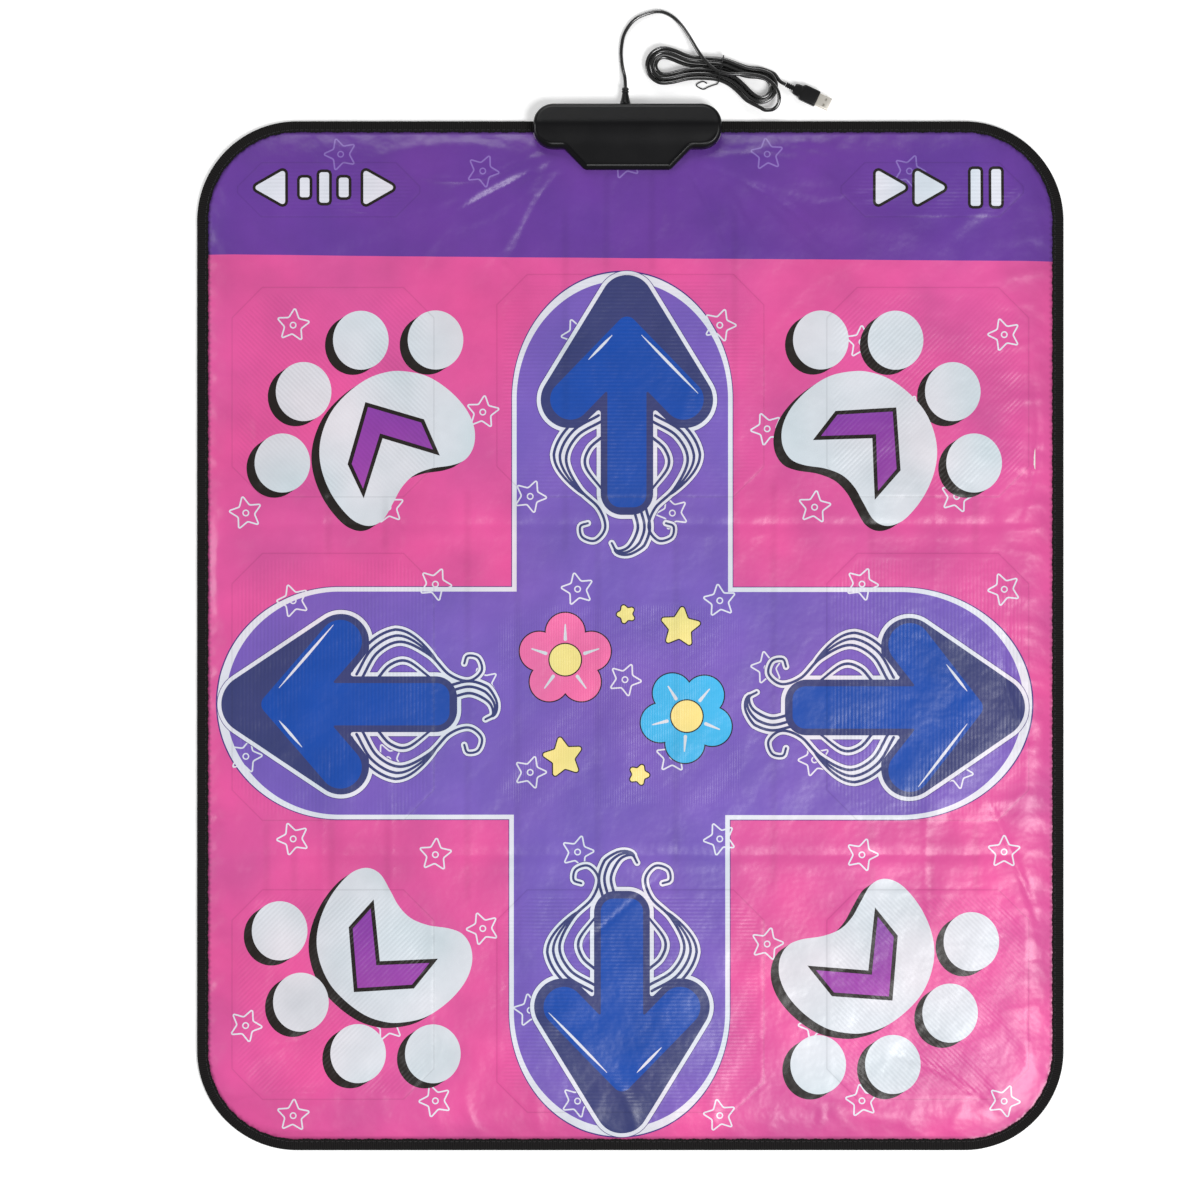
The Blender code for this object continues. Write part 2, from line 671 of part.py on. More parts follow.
def make_housing(pivot, materials):
    """Build the control housing, its screws, and the board with its parts inside."""
    outer = hipped_prism(housing_outline(), PARTING_Z, 0, HOUSING_EDGE)
    shell = make_object("housing_shell", outer, materials["housing"], pivot)
    inner_outline = offset_outline(housing_outline(), -HOUSING_WALL)
    inner = hipped_prism(inner_outline, PARTING_Z - CUT_OVERRUN, HOUSING_WALL, 0)
    combine(shell, make_object("housing_cavity_cutter", inner, None), "DIFFERENCE")
    span = HOUSING_LENGTH
    lip = block((HOUSING_X - span, 0, 0), (HOUSING_X + span, HOUSING_FRONT_Y, LIP_Z))
    combine(shell, make_object("housing_lip_cutter", lip, None), "DIFFERENCE")

    tray_top = PARTING_Z - CLEARANCE
    outer = prism(housing_bar(), 0, tray_top)
    tray = make_object("housing_base", outer, materials["housing"], pivot)
    hollow = prism(housing_bar(-HOUSING_WALL), BASE_FLOOR, tray_top + CUT_OVERRUN)
    combine(tray, make_object("housing_base_cavity_cutter", hollow, None), "DIFFERENCE")
    half = TAIL_WIDTH / 2 + CLEARANCE
    low = (HOUSING_X - half, HOUSING_FRONT_Y - CUT_OVERRUN, FILM_BOTTOM - CLEARANCE)
    high = (HOUSING_X + half, HOUSING_FRONT_Y + CUT_OVERRUN, FILM_TOP + CLEARANCE)
    combine(tray, make_object("film_slot_cutter", block(low, high), None), "DIFFERENCE")

    for index, place in enumerate(screw_places(), 1):
        make_screw(index, place, shell, tray, pivot, materials)
    make_board(pivot, tray, materials)
    neck = GLAND_NECK_RADIUS + CLEARANCE
    hole_y = HOUSING_BACK_Y - HOUSING_WALL - CUT_OVERRUN / 2
    profile = ((neck, 0), (neck, HOUSING_WALL + CUT_OVERRUN))
    for part, name in ((shell, "shell"), (tray, "base")):
        hole = turned(profile, 24, (GLAND_X, hole_y, GLAND_Z), "Y")
        combine(part, make_object(f"gland_hole_{name}_cutter", hole, None), "DIFFERENCE")
    smooth(shell)
    smooth(tray)


def make_screw(index, place, shell, tray, pivot, materials):
    """Build a screw, its boss in the upper shell and its sunk hole in the base."""
    bore = SCREW_RADIUS + CLEARANCE
    head_top = CLEARANCE + SCREW_HEAD_HEIGHT
    boss_foot = BASE_FLOOR + CLEARANCE
    screw_top = head_top + SCREW_LENGTH
    roof = roof_height(place[1], HOUSING_WALL / 2)
    ground = (*place, 0)
    boss = turned(((BOSS_RADIUS, boss_foot), (BOSS_RADIUS, roof)), 16, ground)
    combine(shell, make_object(f"boss_{index}_shape", boss, None), "UNION")
    hole = turned(((bore, 0), (bore, screw_top + CLEARANCE)), 16, ground)
    combine(shell, make_object(f"boss_bore_{index}_cutter", hole, None), "DIFFERENCE")
    head = SCREW_HEAD_RADIUS + CLEARANCE
    seat = head_top + CLEARANCE
    sink = turned(((head, -CUT_OVERRUN), (head, seat), (bore, seat), (bore, CUT_OVERRUN)), 16, ground)
    combine(tray, make_object(f"screw_hole_{index}_cutter", sink, None), "DIFFERENCE")
    profile = (
        (SCREW_HEAD_RADIUS, CLEARANCE),
        (SCREW_HEAD_RADIUS, head_top),
        (SCREW_RADIUS, head_top),
        (SCREW_RADIUS, screw_top - SCREW_RADIUS),
        (SCREW_RADIUS / 3, screw_top),
    )
    screw = turned(profile, 16, ground)
    smooth(make_object(f"housing_screw_{index}", screw, materials["steel"], pivot))


def make_board(pivot, tray, materials):
    """Build the circuit board on its two rails, its parts, and the clamp on the film tail."""
    half = BOARD_WIDTH / 2
    back = BOARD_FRONT_Y + BOARD_DEPTH
    low = (HOUSING_X - half, BOARD_FRONT_Y, BOARD_BOTTOM)
    high = (HOUSING_X + half, back, BOARD_TOP)
    make_object("circuit_board", block(low, high), materials["board"], pivot)
    for sign in (-1, 1):
        x = HOUSING_X + sign * (half - HOUSING_WALL)
        rail_low = (x - HOUSING_WALL / 2, BOARD_FRONT_Y, BASE_FLOOR / 2)
        rail_high = (x + HOUSING_WALL / 2, back, BOARD_BOTTOM - CLEARANCE)
        rail = make_object(f"board_rail_{sign}_shape", block(rail_low, rail_high), None)
        combine(tray, rail, "UNION")
    clamp_y = BOARD_FRONT_Y + CLAMP_DEPTH / 2
    clamp_z = FILM_TOP + CLEARANCE
    low = (HOUSING_X - TAIL_WIDTH / 2, clamp_y, clamp_z)
    high = (HOUSING_X + TAIL_WIDTH / 2, clamp_y + CLAMP_DEPTH, clamp_z + CLAMP_HEIGHT)
    make_object("film_clamp", block(low, high), materials["housing"], pivot)
    chip_y = back - CHIP_RADIUS - CLEARANCE
    seat = BOARD_TOP + CLEARANCE
    profile = []
    for step in range(6):
        angle = math.pi / 2 * step / 6
        profile.append((CHIP_RADIUS * math.cos(angle), CHIP_HEIGHT * math.sin(angle)))
    chip = turned(profile, 20, (HOUSING_X, chip_y, seat))
    smooth(make_object("epoxy_chip", chip, materials["epoxy"], pivot))
    can = ((CAPACITOR_RADIUS, 0), (CAPACITOR_RADIUS, CAPACITOR_LENGTH))
    can_y = back - CAPACITOR_LENGTH - CLEARANCE
    can_place = (HOUSING_X + PART_SPREAD, can_y, seat + CAPACITOR_RADIUS)
    smooth(make_object("capacitor", turned(can, 16, can_place, "Y"), materials["capacitor"], pivot))


def make_gland(pivot, materials):
    """Build the ribbed strain relief that grips the lead in the housing's back wall."""
    inside = GLAND_NECK_RADIUS + HOUSING_WALL
    wall_in = -HOUSING_WALL - CLEARANCE
    profile = [
        (inside, wall_in - HOUSING_WALL),
        (inside, wall_in),
        (GLAND_NECK_RADIUS, wall_in),
        (GLAND_NECK_RADIUS, CLEARANCE),
        (GLAND_ROOT_RADIUS, CLEARANCE),
    ]
    profile.append((GLAND_TIP_RADIUS, GLAND_TAPER_END))
    grown = GLAND_TIP_RADIUS + GLAND_RING_RADIUS
    for ring in range(GLAND_RINGS):
        start = GLAND_TAPER_END + GLAND_RING_RADIUS + ring * GLAND_RING_PITCH
        profile.append((GLAND_TIP_RADIUS, start))
        profile.append((grown, start + GLAND_RING_RADIUS))
        profile.append((grown, start + 2 * GLAND_RING_RADIUS))
        profile.append((GLAND_TIP_RADIUS, start + 3 * GLAND_RING_RADIUS))
    profile.append((GLAND_TIP_RADIUS, GLAND_LENGTH))
    gland = turned(profile, 24, (GLAND_X, HOUSING_BACK_Y, GLAND_Z), "Y")
    smooth(make_object("cable_gland", gland, materials["housing"], pivot))


def smooth_route(points, step):
    """Return points about one step apart on a smooth curve through the given points."""
    points = [Vector(point) for point in points]
    padded = [2 * points[0] - points[1], *points, 2 * points[-1] - points[-2]]
    dense = [points[0]]
    for a, b, c, d in zip(padded, padded[1:], padded[2:], padded[3:]):
        parts = max(2, math.ceil((c - b).length / step * 8))
        for part in range(1, parts + 1):
            t = part / parts
            bend = (2 * a - 5 * b + 4 * c - d) * t * t + (3 * b - a - 3 * c + d) * t ** 3
            dense.append((2 * b + (c - a) * t + bend) / 2)
    total = sum((q - p).length for p, q in zip(dense, dense[1:]))
    spacing = total / max(1, round(total / step))
    kept = [dense[0]]
    walked = 0.0
    for before, here in zip(dense, dense[1:]):
        walked += (here - before).length
        if walked >= spacing * (len(kept) - 0.01):
            kept.append(here)
    kept[-1] = dense[-1]
    return kept


def make_tube(name, points, radius, resolution, material, pivot):
    """Build a round tube with filled ends along a list of points."""
    curve = bpy.data.curves.new(name, "CURVE")
    curve.dimensions = "3D"
    curve.bevel_depth = radius
    curve.bevel_resolution = resolution
    curve.use_fill_caps = True
    spline = curve.splines.new("POLY")
    spline.points.add(len(points) - 1)
    origin = Vector(points[0])
    for target, point in zip(spline.points, points):
        target.co = (*(Vector(point) - origin), 1)
    curve.materials.append(material)
    item = bpy.data.objects.new(name, curve)
    item.location = origin - world_place(pivot)
    item.parent = pivot
    bpy.context.scene.collection.objects.link(item)
    return item


def from_gland(x, y, z=0.0):
    """Return the place of a point given in millimetres from the gland's root, at height z."""
    return Vector((GLAND_X, HOUSING_BACK_Y, 0)) + Vector((x, y, z)) * MM


def blend_step(value):
    """Return 0 below 0, 1 above 1 and a smooth climb between."""
    value = min(1.0, max(0.0, value))
    return value * value * (3 - 2 * value)


def hank_tilt(along):
    """Return the tilt of the hank's line at a distance along it from the tie."""
    share = blend_step((along + HANK_BEND_HALF) / (2 * HANK_BEND_HALF))
    return HANK_LEFT_TILT + (HANK_RIGHT_TILT - HANK_LEFT_TILT) * share


def quarter_run(end):
    """Return the lobe's centre, and the points of a run from the waist to its lobe."""
    centre = end - CORD_RADIUS - HANK_LOBE_RADIUS
    waist = Vector((0, HANK_WAIST))
    touch = Vector((math.cos(HANK_LOBE_OPENING), math.sin(HANK_LOBE_OPENING))) * HANK_LOBE_RADIUS
    touch.x += centre
    reach = touch.x * HANK_RUN_HANDLE
    leaving = Vector((math.sin(HANK_LOBE_OPENING), -math.cos(HANK_LOBE_OPENING)))
    handles = (waist, waist + Vector((reach, 0)), touch - leaving * reach, touch)
    run = []
    for step in range(HANK_RUN_STEPS):
        t = step / HANK_RUN_STEPS
        weights = ((1 - t) ** 3, 3 * t * (1 - t) ** 2, 3 * t * t * (1 - t), t ** 3)
        run.append(sum((w * h for w, h in zip(weights, handles)), Vector((0, 0))))
    return centre, run


def hank_loop():
    """Return the outer loop's points and distances along the hank, clockwise from the waist's top."""
    right_centre, right_run = quarter_run(HANK_RIGHT_END)
    left_centre, left_run = quarter_run(HANK_LEFT_END)
    right_arc = []
    left_arc = []
    for step in range(HANK_ARC_STEPS + 1):
        angle = HANK_LOBE_OPENING * (1 - 2 * step / HANK_ARC_STEPS)
        across = HANK_LOBE_RADIUS * math.sin(angle)
        reach = HANK_LOBE_RADIUS * math.cos(angle)
        right_arc.append(Vector((right_centre + reach, across)))
        left_arc.append(Vector((-left_centre - reach, -across)))
    below_right = [Vector((p.x, -p.y)) for p in reversed(right_run)]
    below_left = [Vector((-p.x, -p.y)) for p in left_run[1:]]
    above_left = [Vector((-p.x, p.y)) for p in reversed(left_run[1:])]
    flat = right_run + right_arc + below_right + below_left + left_arc + above_left
    bent = [Matrix.Rotation(hank_tilt(p.x), 2) @ p for p in flat]
    return bent, [p.x for p in flat]


def tie_lift(along):
    """Return how far the tie under the waist lifts the hank at a distance along it."""
    return (2 * TIE_WIRE_RADIUS + CLEARANCE) * math.exp(-((along / TIE_LIFT_REACH) ** 2))


def hank_route():
    """Return the hank's points: two layers of loops that spiral in and out again, and the plug's end."""
    loop, along = hank_loop()
    count = len(loop)
    tie = from_gland(*HANK_TIE).xy
    route = []
    for step in range(HANK_STEPS + 1):
        index = (HANK_START_STEP + step) % count
        turns = step / count
        ahead = loop[(index + 1) % count] - loop[index - 1]
        outward = Vector((-ahead.y, ahead.x)).normalized()
        depth = min(turns, 2 * HANK_LAYER_LOOPS - turns)
        flat = tie + loop[index] - outward * depth * HANK_PITCH
        share = blend_step((turns - HANK_LAYER_LOOPS + HANK_CLIMB) / (2 * HANK_CLIMB))
        height = FLOOR_RADIUS + tie_lift(along[index]) + HANK_PITCH * (1 - share)
        route.append(Vector((*flat, height)))
    lead_in = (route[0] - route[1]).normalized() * 2 * CORD_RADIUS
    lead_in.z = 0
    return [route[0] + lead_in, *route, *plug_tail(route[-2], route[-1])]


def plug_tail(before, last):
    """Return the points from the hank's last loop to the plug's strain relief."""
    heading = Vector((math.cos(PLUG_DIRECTION), math.sin(PLUG_DIRECTION), 0))
    plug = plug_place() - heading * CLEARANCE
    straight = plug - heading * 2 * CORD_RADIUS
    leaving = (last - before).normalized()
    reach = (straight - last).length / 3
    handles = (last, last + leaving * reach, straight - heading * reach, straight)
    tail = []
    for step in range(1, 5):
        t = step / 4
        weights = ((1 - t) ** 3, 3 * t * (1 - t) ** 2, 3 * t * t * (1 - t), t ** 3)
        tail.append(sum((w * h for w, h in zip(weights, handles)), Vector((0, 0, 0))))
    return [*tail, plug]


def plug_place():
    """Return where the plug's strain relief starts, on its axis."""
    place = from_gland(*PLUG_RELIEF_START)
    place.z = PLUG_AXIS_Z
    return place


def closest_gap(route, other, skip):
    """Return the least gap between two tubes, or a tube and itself beyond skip of length."""
    def spread(points):
        fine = []
        walked = 0.0
        for before, here in zip(points, points[1:]):
            parts = max(1, round((here - before).length / MM))
            for part in range(parts):
                share = part / parts
                fine.append((before.lerp(here, share), walked + (here - before).length * share))
            walked += (here - before).length
        return fine

    first = spread(route)
    second = first if other is None else spread(other)
    least = math.inf
    for point, place in first:
        for across, other_place in second:
            if other is None and other_place - place < skip:
                continue
            least = min(least, (point - across).length)
    return least - 2 * CORD_RADIUS


def belt(centres, radius, steps=4):
    """Return the points of a belt that runs clockwise round circles of one radius."""
    points = []
    for index, here in enumerate(centres):
        arriving = here - centres[index - 1]
        leaving = centres[(index + 1) % len(centres)] - here
        start = math.atan2(arriving.x, -arriving.y)
        finish = math.atan2(leaving.x, -leaving.y)
        turn = (start - finish) % (2 * math.pi)
        for step in range(steps + 1):
            angle = start - turn * step / steps
            points.append(here + Vector((math.cos(angle), math.sin(angle))) * radius)
    return points


def make_tie(pivot, material):
    """Build the wire tie: once round the hank's waist, then a tail with a small loop."""
    loop = hank_loop()[0]
    tie = from_gland(*HANK_TIE).xy
    axis = (loop[1] - loop[-1]).normalized()
    across = Vector((-axis.y, axis.x))
    ground = FLOOR_RADIUS + tie_lift(0)
    top = ground + HANK_PITCH
    lead = min((from_gland(*point) for point in LEAD_ROUTE), key=lambda p: (p.xy - tie).length)
    lead_across = (lead.xy - tie).dot(across)
    centres = [
        Vector((-HANK_WAIST + HANK_PITCH / 6, top)),
        Vector((lead_across, lead.z)),
        Vector((HANK_WAIST - HANK_PITCH / 3, top)),
        Vector((HANK_WAIST - HANK_PITCH / 3, ground)),
        Vector((-HANK_WAIST + HANK_PITCH / 2, ground)),
    ]
    ring = belt(centres, CORD_RADIUS + CLEARANCE + TIE_WIRE_RADIUS)
    route = [(*(tie + across * point.x), point.y) for point in ring[1:-1]]
    ground_z = (TIE_WIRE_RADIUS + FLOOR_PLAY) / MM
    tail = smooth_route([from_gland(x, y, ground_z) for x, y in TIE_TAIL], TIE_STEP)
    make_tube("wire_tie", [*route, *tail], TIE_WIRE_RADIUS, 1, material, pivot)


def plug_loft(name, sections, material, pivot):
    """Build a plug piece from (distance, width, height, corner radius) along its axis."""
    rings = []
    for along, width, height, radius in sections:
        corners = [(sx * width / 2, sy * height / 2, radius) for sx, sy in PLUG_CORNERS]
        ring = rounded_polygon(corners, 3)
        rings.append([Vector((along, p.x, p.y)) for p in ring])
    item = make_object(name, loft(rings), material)
    item.parent = pivot
    item.location = plug_place() - world_place(pivot)
    item.rotation_euler = (0, 0, PLUG_DIRECTION)
    return item


def make_plug(pivot, materials):
    """Build the plug: the moulded body with its ribbed relief, the metal shell and the tongue."""
    sections = []
    pitch = RELIEF_LENGTH / RELIEF_RIBS
    for rib in range(RELIEF_RIBS):
        for share, radius in RELIEF_PROFILE:
            sections.append(((rib + share) * pitch, 2 * radius, 2 * radius, radius * ROUND_SHARE))
    front = RELIEF_LENGTH + PLUG_BODY_LENGTH
    edge = PLUG_BODY_HEIGHT * PLUG_EDGE_SHARE
    for along, across, up in PLUG_BODY_PROFILE:
        size = (PLUG_BODY_WIDTH * across, PLUG_BODY_HEIGHT * up)
        sections.append((RELIEF_LENGTH + PLUG_BODY_LENGTH * along, *size, edge))
    smooth(plug_loft("plug_body", sections, materials["cord"], pivot))
    start = front + CLEARANCE
    end = start + PLUG_SHELL_LENGTH
    wall = PLUG_SHELL_WALL
    outer = (PLUG_SHELL_WIDTH, PLUG_SHELL_HEIGHT, 2 * wall)
    shell = plug_loft("plug_shell", [(start, *outer), (end, *outer)], materials["steel"], pivot)
    inner = (PLUG_SHELL_WIDTH - 2 * wall, PLUG_SHELL_HEIGHT - 2 * wall, wall)
    mouth = [(start + wall, *inner), (end + CUT_OVERRUN, *inner)]
    combine(shell, plug_loft("plug_mouth_cutter", mouth, None, pivot), "DIFFERENCE")
    tongue_width = PLUG_SHELL_WIDTH - 2 * wall - 2 * CLEARANCE
    tongue = (tongue_width, PLUG_TONGUE_THICKNESS, wall)
    tongue_start = start + wall + CLEARANCE
    rows = [(tongue_start, *tongue), (end - 2 * wall, *tongue)]
    item = plug_loft("plug_tongue", rows, materials["board"], pivot)
    drop = PLUG_SHELL_HEIGHT / 2 - wall - CLEARANCE - PLUG_TONGUE_THICKNESS / 2
    item.location.z -= drop


def make_lead(pivot, materials):
    """Build the lead from the gland to the hank, the hank's loops, the tie and the plug."""
    loops = hank_route()
    arriving = (loops[0] - loops[1]).normalized()
    gland_tip = Vector((GLAND_X, HOUSING_BACK_Y + GLAND_LENGTH + CLEARANCE, GLAND_Z))
    straight = 2 * CORD_RADIUS
    route = [gland_tip + Vector((0, straight, 0))]
    route += [from_gland(*point) for point in LEAD_ROUTE]
    route.append(loops[0] + arriving * (straight + CLEARANCE))
    free = [gland_tip, *smooth_route(route, CORD_STEP * straight), loops[0] + arriving * CLEARANCE]
    make_tube("lead", free, CORD_RADIUS, 2, materials["cord"], pivot)
    make_tube("lead_hank", loops, CORD_RADIUS, 1, materials["cord"], pivot)
    make_tie(pivot, materials["cord"])
    make_plug(pivot, materials)
    whole = [*free, *loops]
    length = sum((b - a).length for a, b in zip(whole, whole[1:]))
    own_gap = closest_gap(loops, None, 4 * HANK_PITCH)
    lead_gap = closest_gap(free[:-3], loops, 0)
    print(f"least gap of the hank's loops to each other: {own_gap / MM:.2f} mm")
    print(f"least gap of the lead to the hank under it: {lead_gap / MM:.2f} mm")
    print(f"length of the lead from gland to plug: {length:.3f} m")


def make_materials():
    """Return the part's materials by the use that each one has."""
    return {
        "cover": make_material("printed_cover", (0.75, 0.12, 0.38), 0.42),
        "film": make_material("electrode_film", (0.62, 0.64, 0.66), 0.35),
        "foam": make_material("foam", (0.82, 0.82, 0.78), 0.9),
        "base": make_material("non_slip_cloth", (0.02, 0.02, 0.022), 0.85),
        "binding": make_material("woven_binding", (0.012, 0.012, 0.013), 0.8),
        "housing": make_material("housing_plastic", (0.014, 0.015, 0.017), 0.45),
        "board": make_material("circuit_board", (0.03, 0.16, 0.06), 0.5),
        "epoxy": make_material("chip_epoxy", (0.01, 0.01, 0.01), 0.25),
        "capacitor": make_material("capacitor_sleeve", (0.02, 0.03, 0.08), 0.4),
        "steel": make_material("plated_steel", (0.7, 0.7, 0.68), 0.3, 1.0),
        "cord": make_material("cord_jacket", (0.012, 0.012, 0.013), 0.4),
    }


def main():
    """Build the whole controller."""
    clear_scene()
    materials = make_materials()
    top = make_pivot("mat_reference", (0, 0, 0))
    middle = make_pivot("upper_fold_axis", (0, UPPER_FOLD_Y, UPPER_AXIS_Z), top)
    bottom = make_pivot("lower_fold_axis", (0, LOWER_FOLD_Y, LOWER_AXIS_Z), middle)
    bpy.context.view_layer.update()
    make_mat({"top": top, "middle": middle, "bottom": bottom}, materials)
    make_housing(top, materials)
    make_gland(top, materials)
    make_lead(top, materials)


main()
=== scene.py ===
"""Looks of a fold-up dance mat controller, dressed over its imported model.

Lengths named _mm and the artwork are in millimetres; meshes are in metres, in the model's frame:
the origin is the middle of the mat on the floor, +Y runs to the control housing, +Z is up.
"""

import json
import logging
import math
from collections.abc import Iterable, Sequence
from dataclasses import dataclass, field
from enum import Enum

import bpy
import numpy as np
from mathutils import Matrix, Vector
from mathutils.geometry import delaunay_2d_cdt

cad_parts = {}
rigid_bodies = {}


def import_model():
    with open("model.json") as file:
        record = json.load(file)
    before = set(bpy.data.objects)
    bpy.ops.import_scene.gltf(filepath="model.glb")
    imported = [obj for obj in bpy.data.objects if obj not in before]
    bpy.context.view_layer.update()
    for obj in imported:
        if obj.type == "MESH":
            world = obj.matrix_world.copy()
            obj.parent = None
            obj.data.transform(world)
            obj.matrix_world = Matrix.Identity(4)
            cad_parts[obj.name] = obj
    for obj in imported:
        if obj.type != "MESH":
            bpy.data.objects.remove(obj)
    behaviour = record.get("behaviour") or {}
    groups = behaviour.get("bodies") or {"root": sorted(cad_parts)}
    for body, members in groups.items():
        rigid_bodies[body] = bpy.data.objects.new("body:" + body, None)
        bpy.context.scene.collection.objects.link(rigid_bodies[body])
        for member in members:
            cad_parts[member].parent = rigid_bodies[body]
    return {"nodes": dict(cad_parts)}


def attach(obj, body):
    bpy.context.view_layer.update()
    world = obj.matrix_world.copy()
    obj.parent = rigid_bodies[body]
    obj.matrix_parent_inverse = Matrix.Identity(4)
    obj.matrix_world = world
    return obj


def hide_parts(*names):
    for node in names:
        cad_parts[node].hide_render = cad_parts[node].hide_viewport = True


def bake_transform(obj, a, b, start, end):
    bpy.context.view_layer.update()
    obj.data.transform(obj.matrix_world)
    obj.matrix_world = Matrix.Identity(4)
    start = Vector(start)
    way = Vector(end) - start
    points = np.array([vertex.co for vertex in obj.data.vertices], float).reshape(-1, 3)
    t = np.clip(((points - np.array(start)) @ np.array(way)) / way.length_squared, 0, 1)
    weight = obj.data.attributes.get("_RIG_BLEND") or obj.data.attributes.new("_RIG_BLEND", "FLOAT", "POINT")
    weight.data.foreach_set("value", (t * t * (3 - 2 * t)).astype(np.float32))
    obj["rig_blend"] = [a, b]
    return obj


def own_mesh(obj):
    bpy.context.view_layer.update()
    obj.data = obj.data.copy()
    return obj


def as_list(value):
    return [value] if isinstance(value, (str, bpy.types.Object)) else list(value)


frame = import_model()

MM = 0.001
LOG = logging.getLogger("dance_mat")
Array = np.ndarray
Point = tuple[float, float]
Triple = tuple[float, float, float]
Tree, Node, Socket = bpy.types.NodeTree, bpy.types.Node, bpy.types.NodeSocket
Piece, Mesh = bpy.types.Object, bpy.types.Mesh
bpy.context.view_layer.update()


# Colours and node trees


def linear(hex_colour: str, alpha: float = 1.0) -> tuple[float, ...]:
    """Turn an sRGB hex colour into linear values.

    Args:
        hex_colour: six hex digits.
        alpha: the fourth value.

    Returns:
        Linear red, green, blue and alpha.
    """
    values = []
    for start in (0, 2, 4):
        value = int(hex_colour[start:start + 2], 16) / 255
        values.append(value / 12.92 if value <= 0.04045 else ((value + 0.055) / 1.055) ** 2.4)
    return (*values, alpha)


def add_node(tree: Tree, kind: str, links: dict | None = None, **settings) -> Node:
    """Add one node with its settings and links.

    Args:
        tree: the node tree.
        kind: the node's type name.
        links: input name or number to an output socket, or to a fixed value.
        **settings: properties of the node itself.

    Returns:
        The new node.
    """
    node = tree.nodes.new(kind)
    for name, value in settings.items():
        setattr(node, name, value)
    for key, value in (links or {}).items():
        socket = node.inputs[key]
        if isinstance(value, Socket):
            tree.links.new(value, socket)
        else:
            socket.default_value = value
    return node


def maths(tree: Tree, operation: str, *values: Socket | float) -> Socket:
    """Return what a maths node makes of some values."""
    return add_node(tree, "ShaderNodeMath", dict(enumerate(values)), operation=operation).outputs[0]


def waves(tree: Tree, place: Socket, period_mm: float, waver: float, direction: str) -> Socket:
    """Return bands period_mm apart along X or Y; at scale 1 the texture has 20 in tau metres."""
    links = {"Vector": place, "Scale": math.tau / 20 / (period_mm * MM), "Distortion": waver}
    return add_node(tree, "ShaderNodeTexWave", links, bands_direction=direction).outputs["Fac"]


# Finishes


@dataclass(frozen=True)
class Finish:
    """A plain moulded or coated surface; subclasses add their pattern."""

    name: str
    colour: str
    roughness: float = 0.5
    metallic: float = 0.0
    specular: float = 0.5
    coat: float = 0.0
    coat_roughness: float = 0.12

    def build(self) -> bpy.types.Material:
        """Return the finished Blender material."""
        material = bpy.data.materials.new(self.name)
        material.use_nodes = True
        tree = material.node_tree
        shader = tree.nodes["Principled BSDF"]
        for name, value in (
            ("Base Color", linear(self.colour)), ("Roughness", self.roughness), ("Metallic", self.metallic),
            ("Specular IOR Level", self.specular), ("Coat Weight", self.coat),
            ("Coat Roughness", self.coat_roughness),
        ):
            shader.inputs[name].default_value = value
        self.pattern(tree, shader)
        return material

    def pattern(self, tree: Tree, shader: Node) -> None:
        """Add the finish's own pattern; a plain one has none."""

    @staticmethod
    def grain(tree: Tree, size_mm: float, detail: float = 3.0) -> Socket:
        """Return a noise on the object's place, its features about size_mm wide."""
        place = add_node(tree, "ShaderNodeTexCoord").outputs["Object"]
        links = {"Vector": place, "Scale": 1 / (size_mm * MM), "Detail": detail}
        return add_node(tree, "ShaderNodeTexNoise", links).outputs["Fac"]

    @staticmethod
    def relief(tree: Tree, shader: Node, height: Socket, depth_mm: float) -> None:
        """Feed a height pattern from 0 to 1 of a real depth into the shader's normal."""
        links = {"Height": height, "Distance": depth_mm * MM, "Strength": 1.0}
        bump = add_node(tree, "ShaderNodeBump", links)
        tree.links.new(bump.outputs["Normal"], shader.inputs["Normal"])

    @staticmethod
    def spread(tree: Tree, value: Socket, low: float, high: float) -> Socket:
        """Return a pattern from 0 to 1 stretched to run from low to high."""
        links = {"Value": value, "To Min": low, "To Max": high}
        return add_node(tree, "ShaderNodeMapRange", links).outputs["Result"]

    @staticmethod
    def between(tree: Tree, share: Socket, low: Sequence[float], high: Sequence[float]) -> Socket:
        """Return a colour mixed from two linear ones."""
        links = {0: share, 6: (*low[:3], 1), 7: (*high[:3], 1)}
        return add_node(tree, "ShaderNodeMix", links, data_type="RGBA").outputs[2]

    def vary_shine(self, tree: Tree, shader: Node, pattern: Socket, less: float, more: float) -> None:
        """Let the roughness follow a pattern, from less below the finish's own to more above it."""
        rough = self.spread(tree, pattern, self.roughness - less, self.roughness + more)
        tree.links.new(rough, shader.inputs["Roughness"])


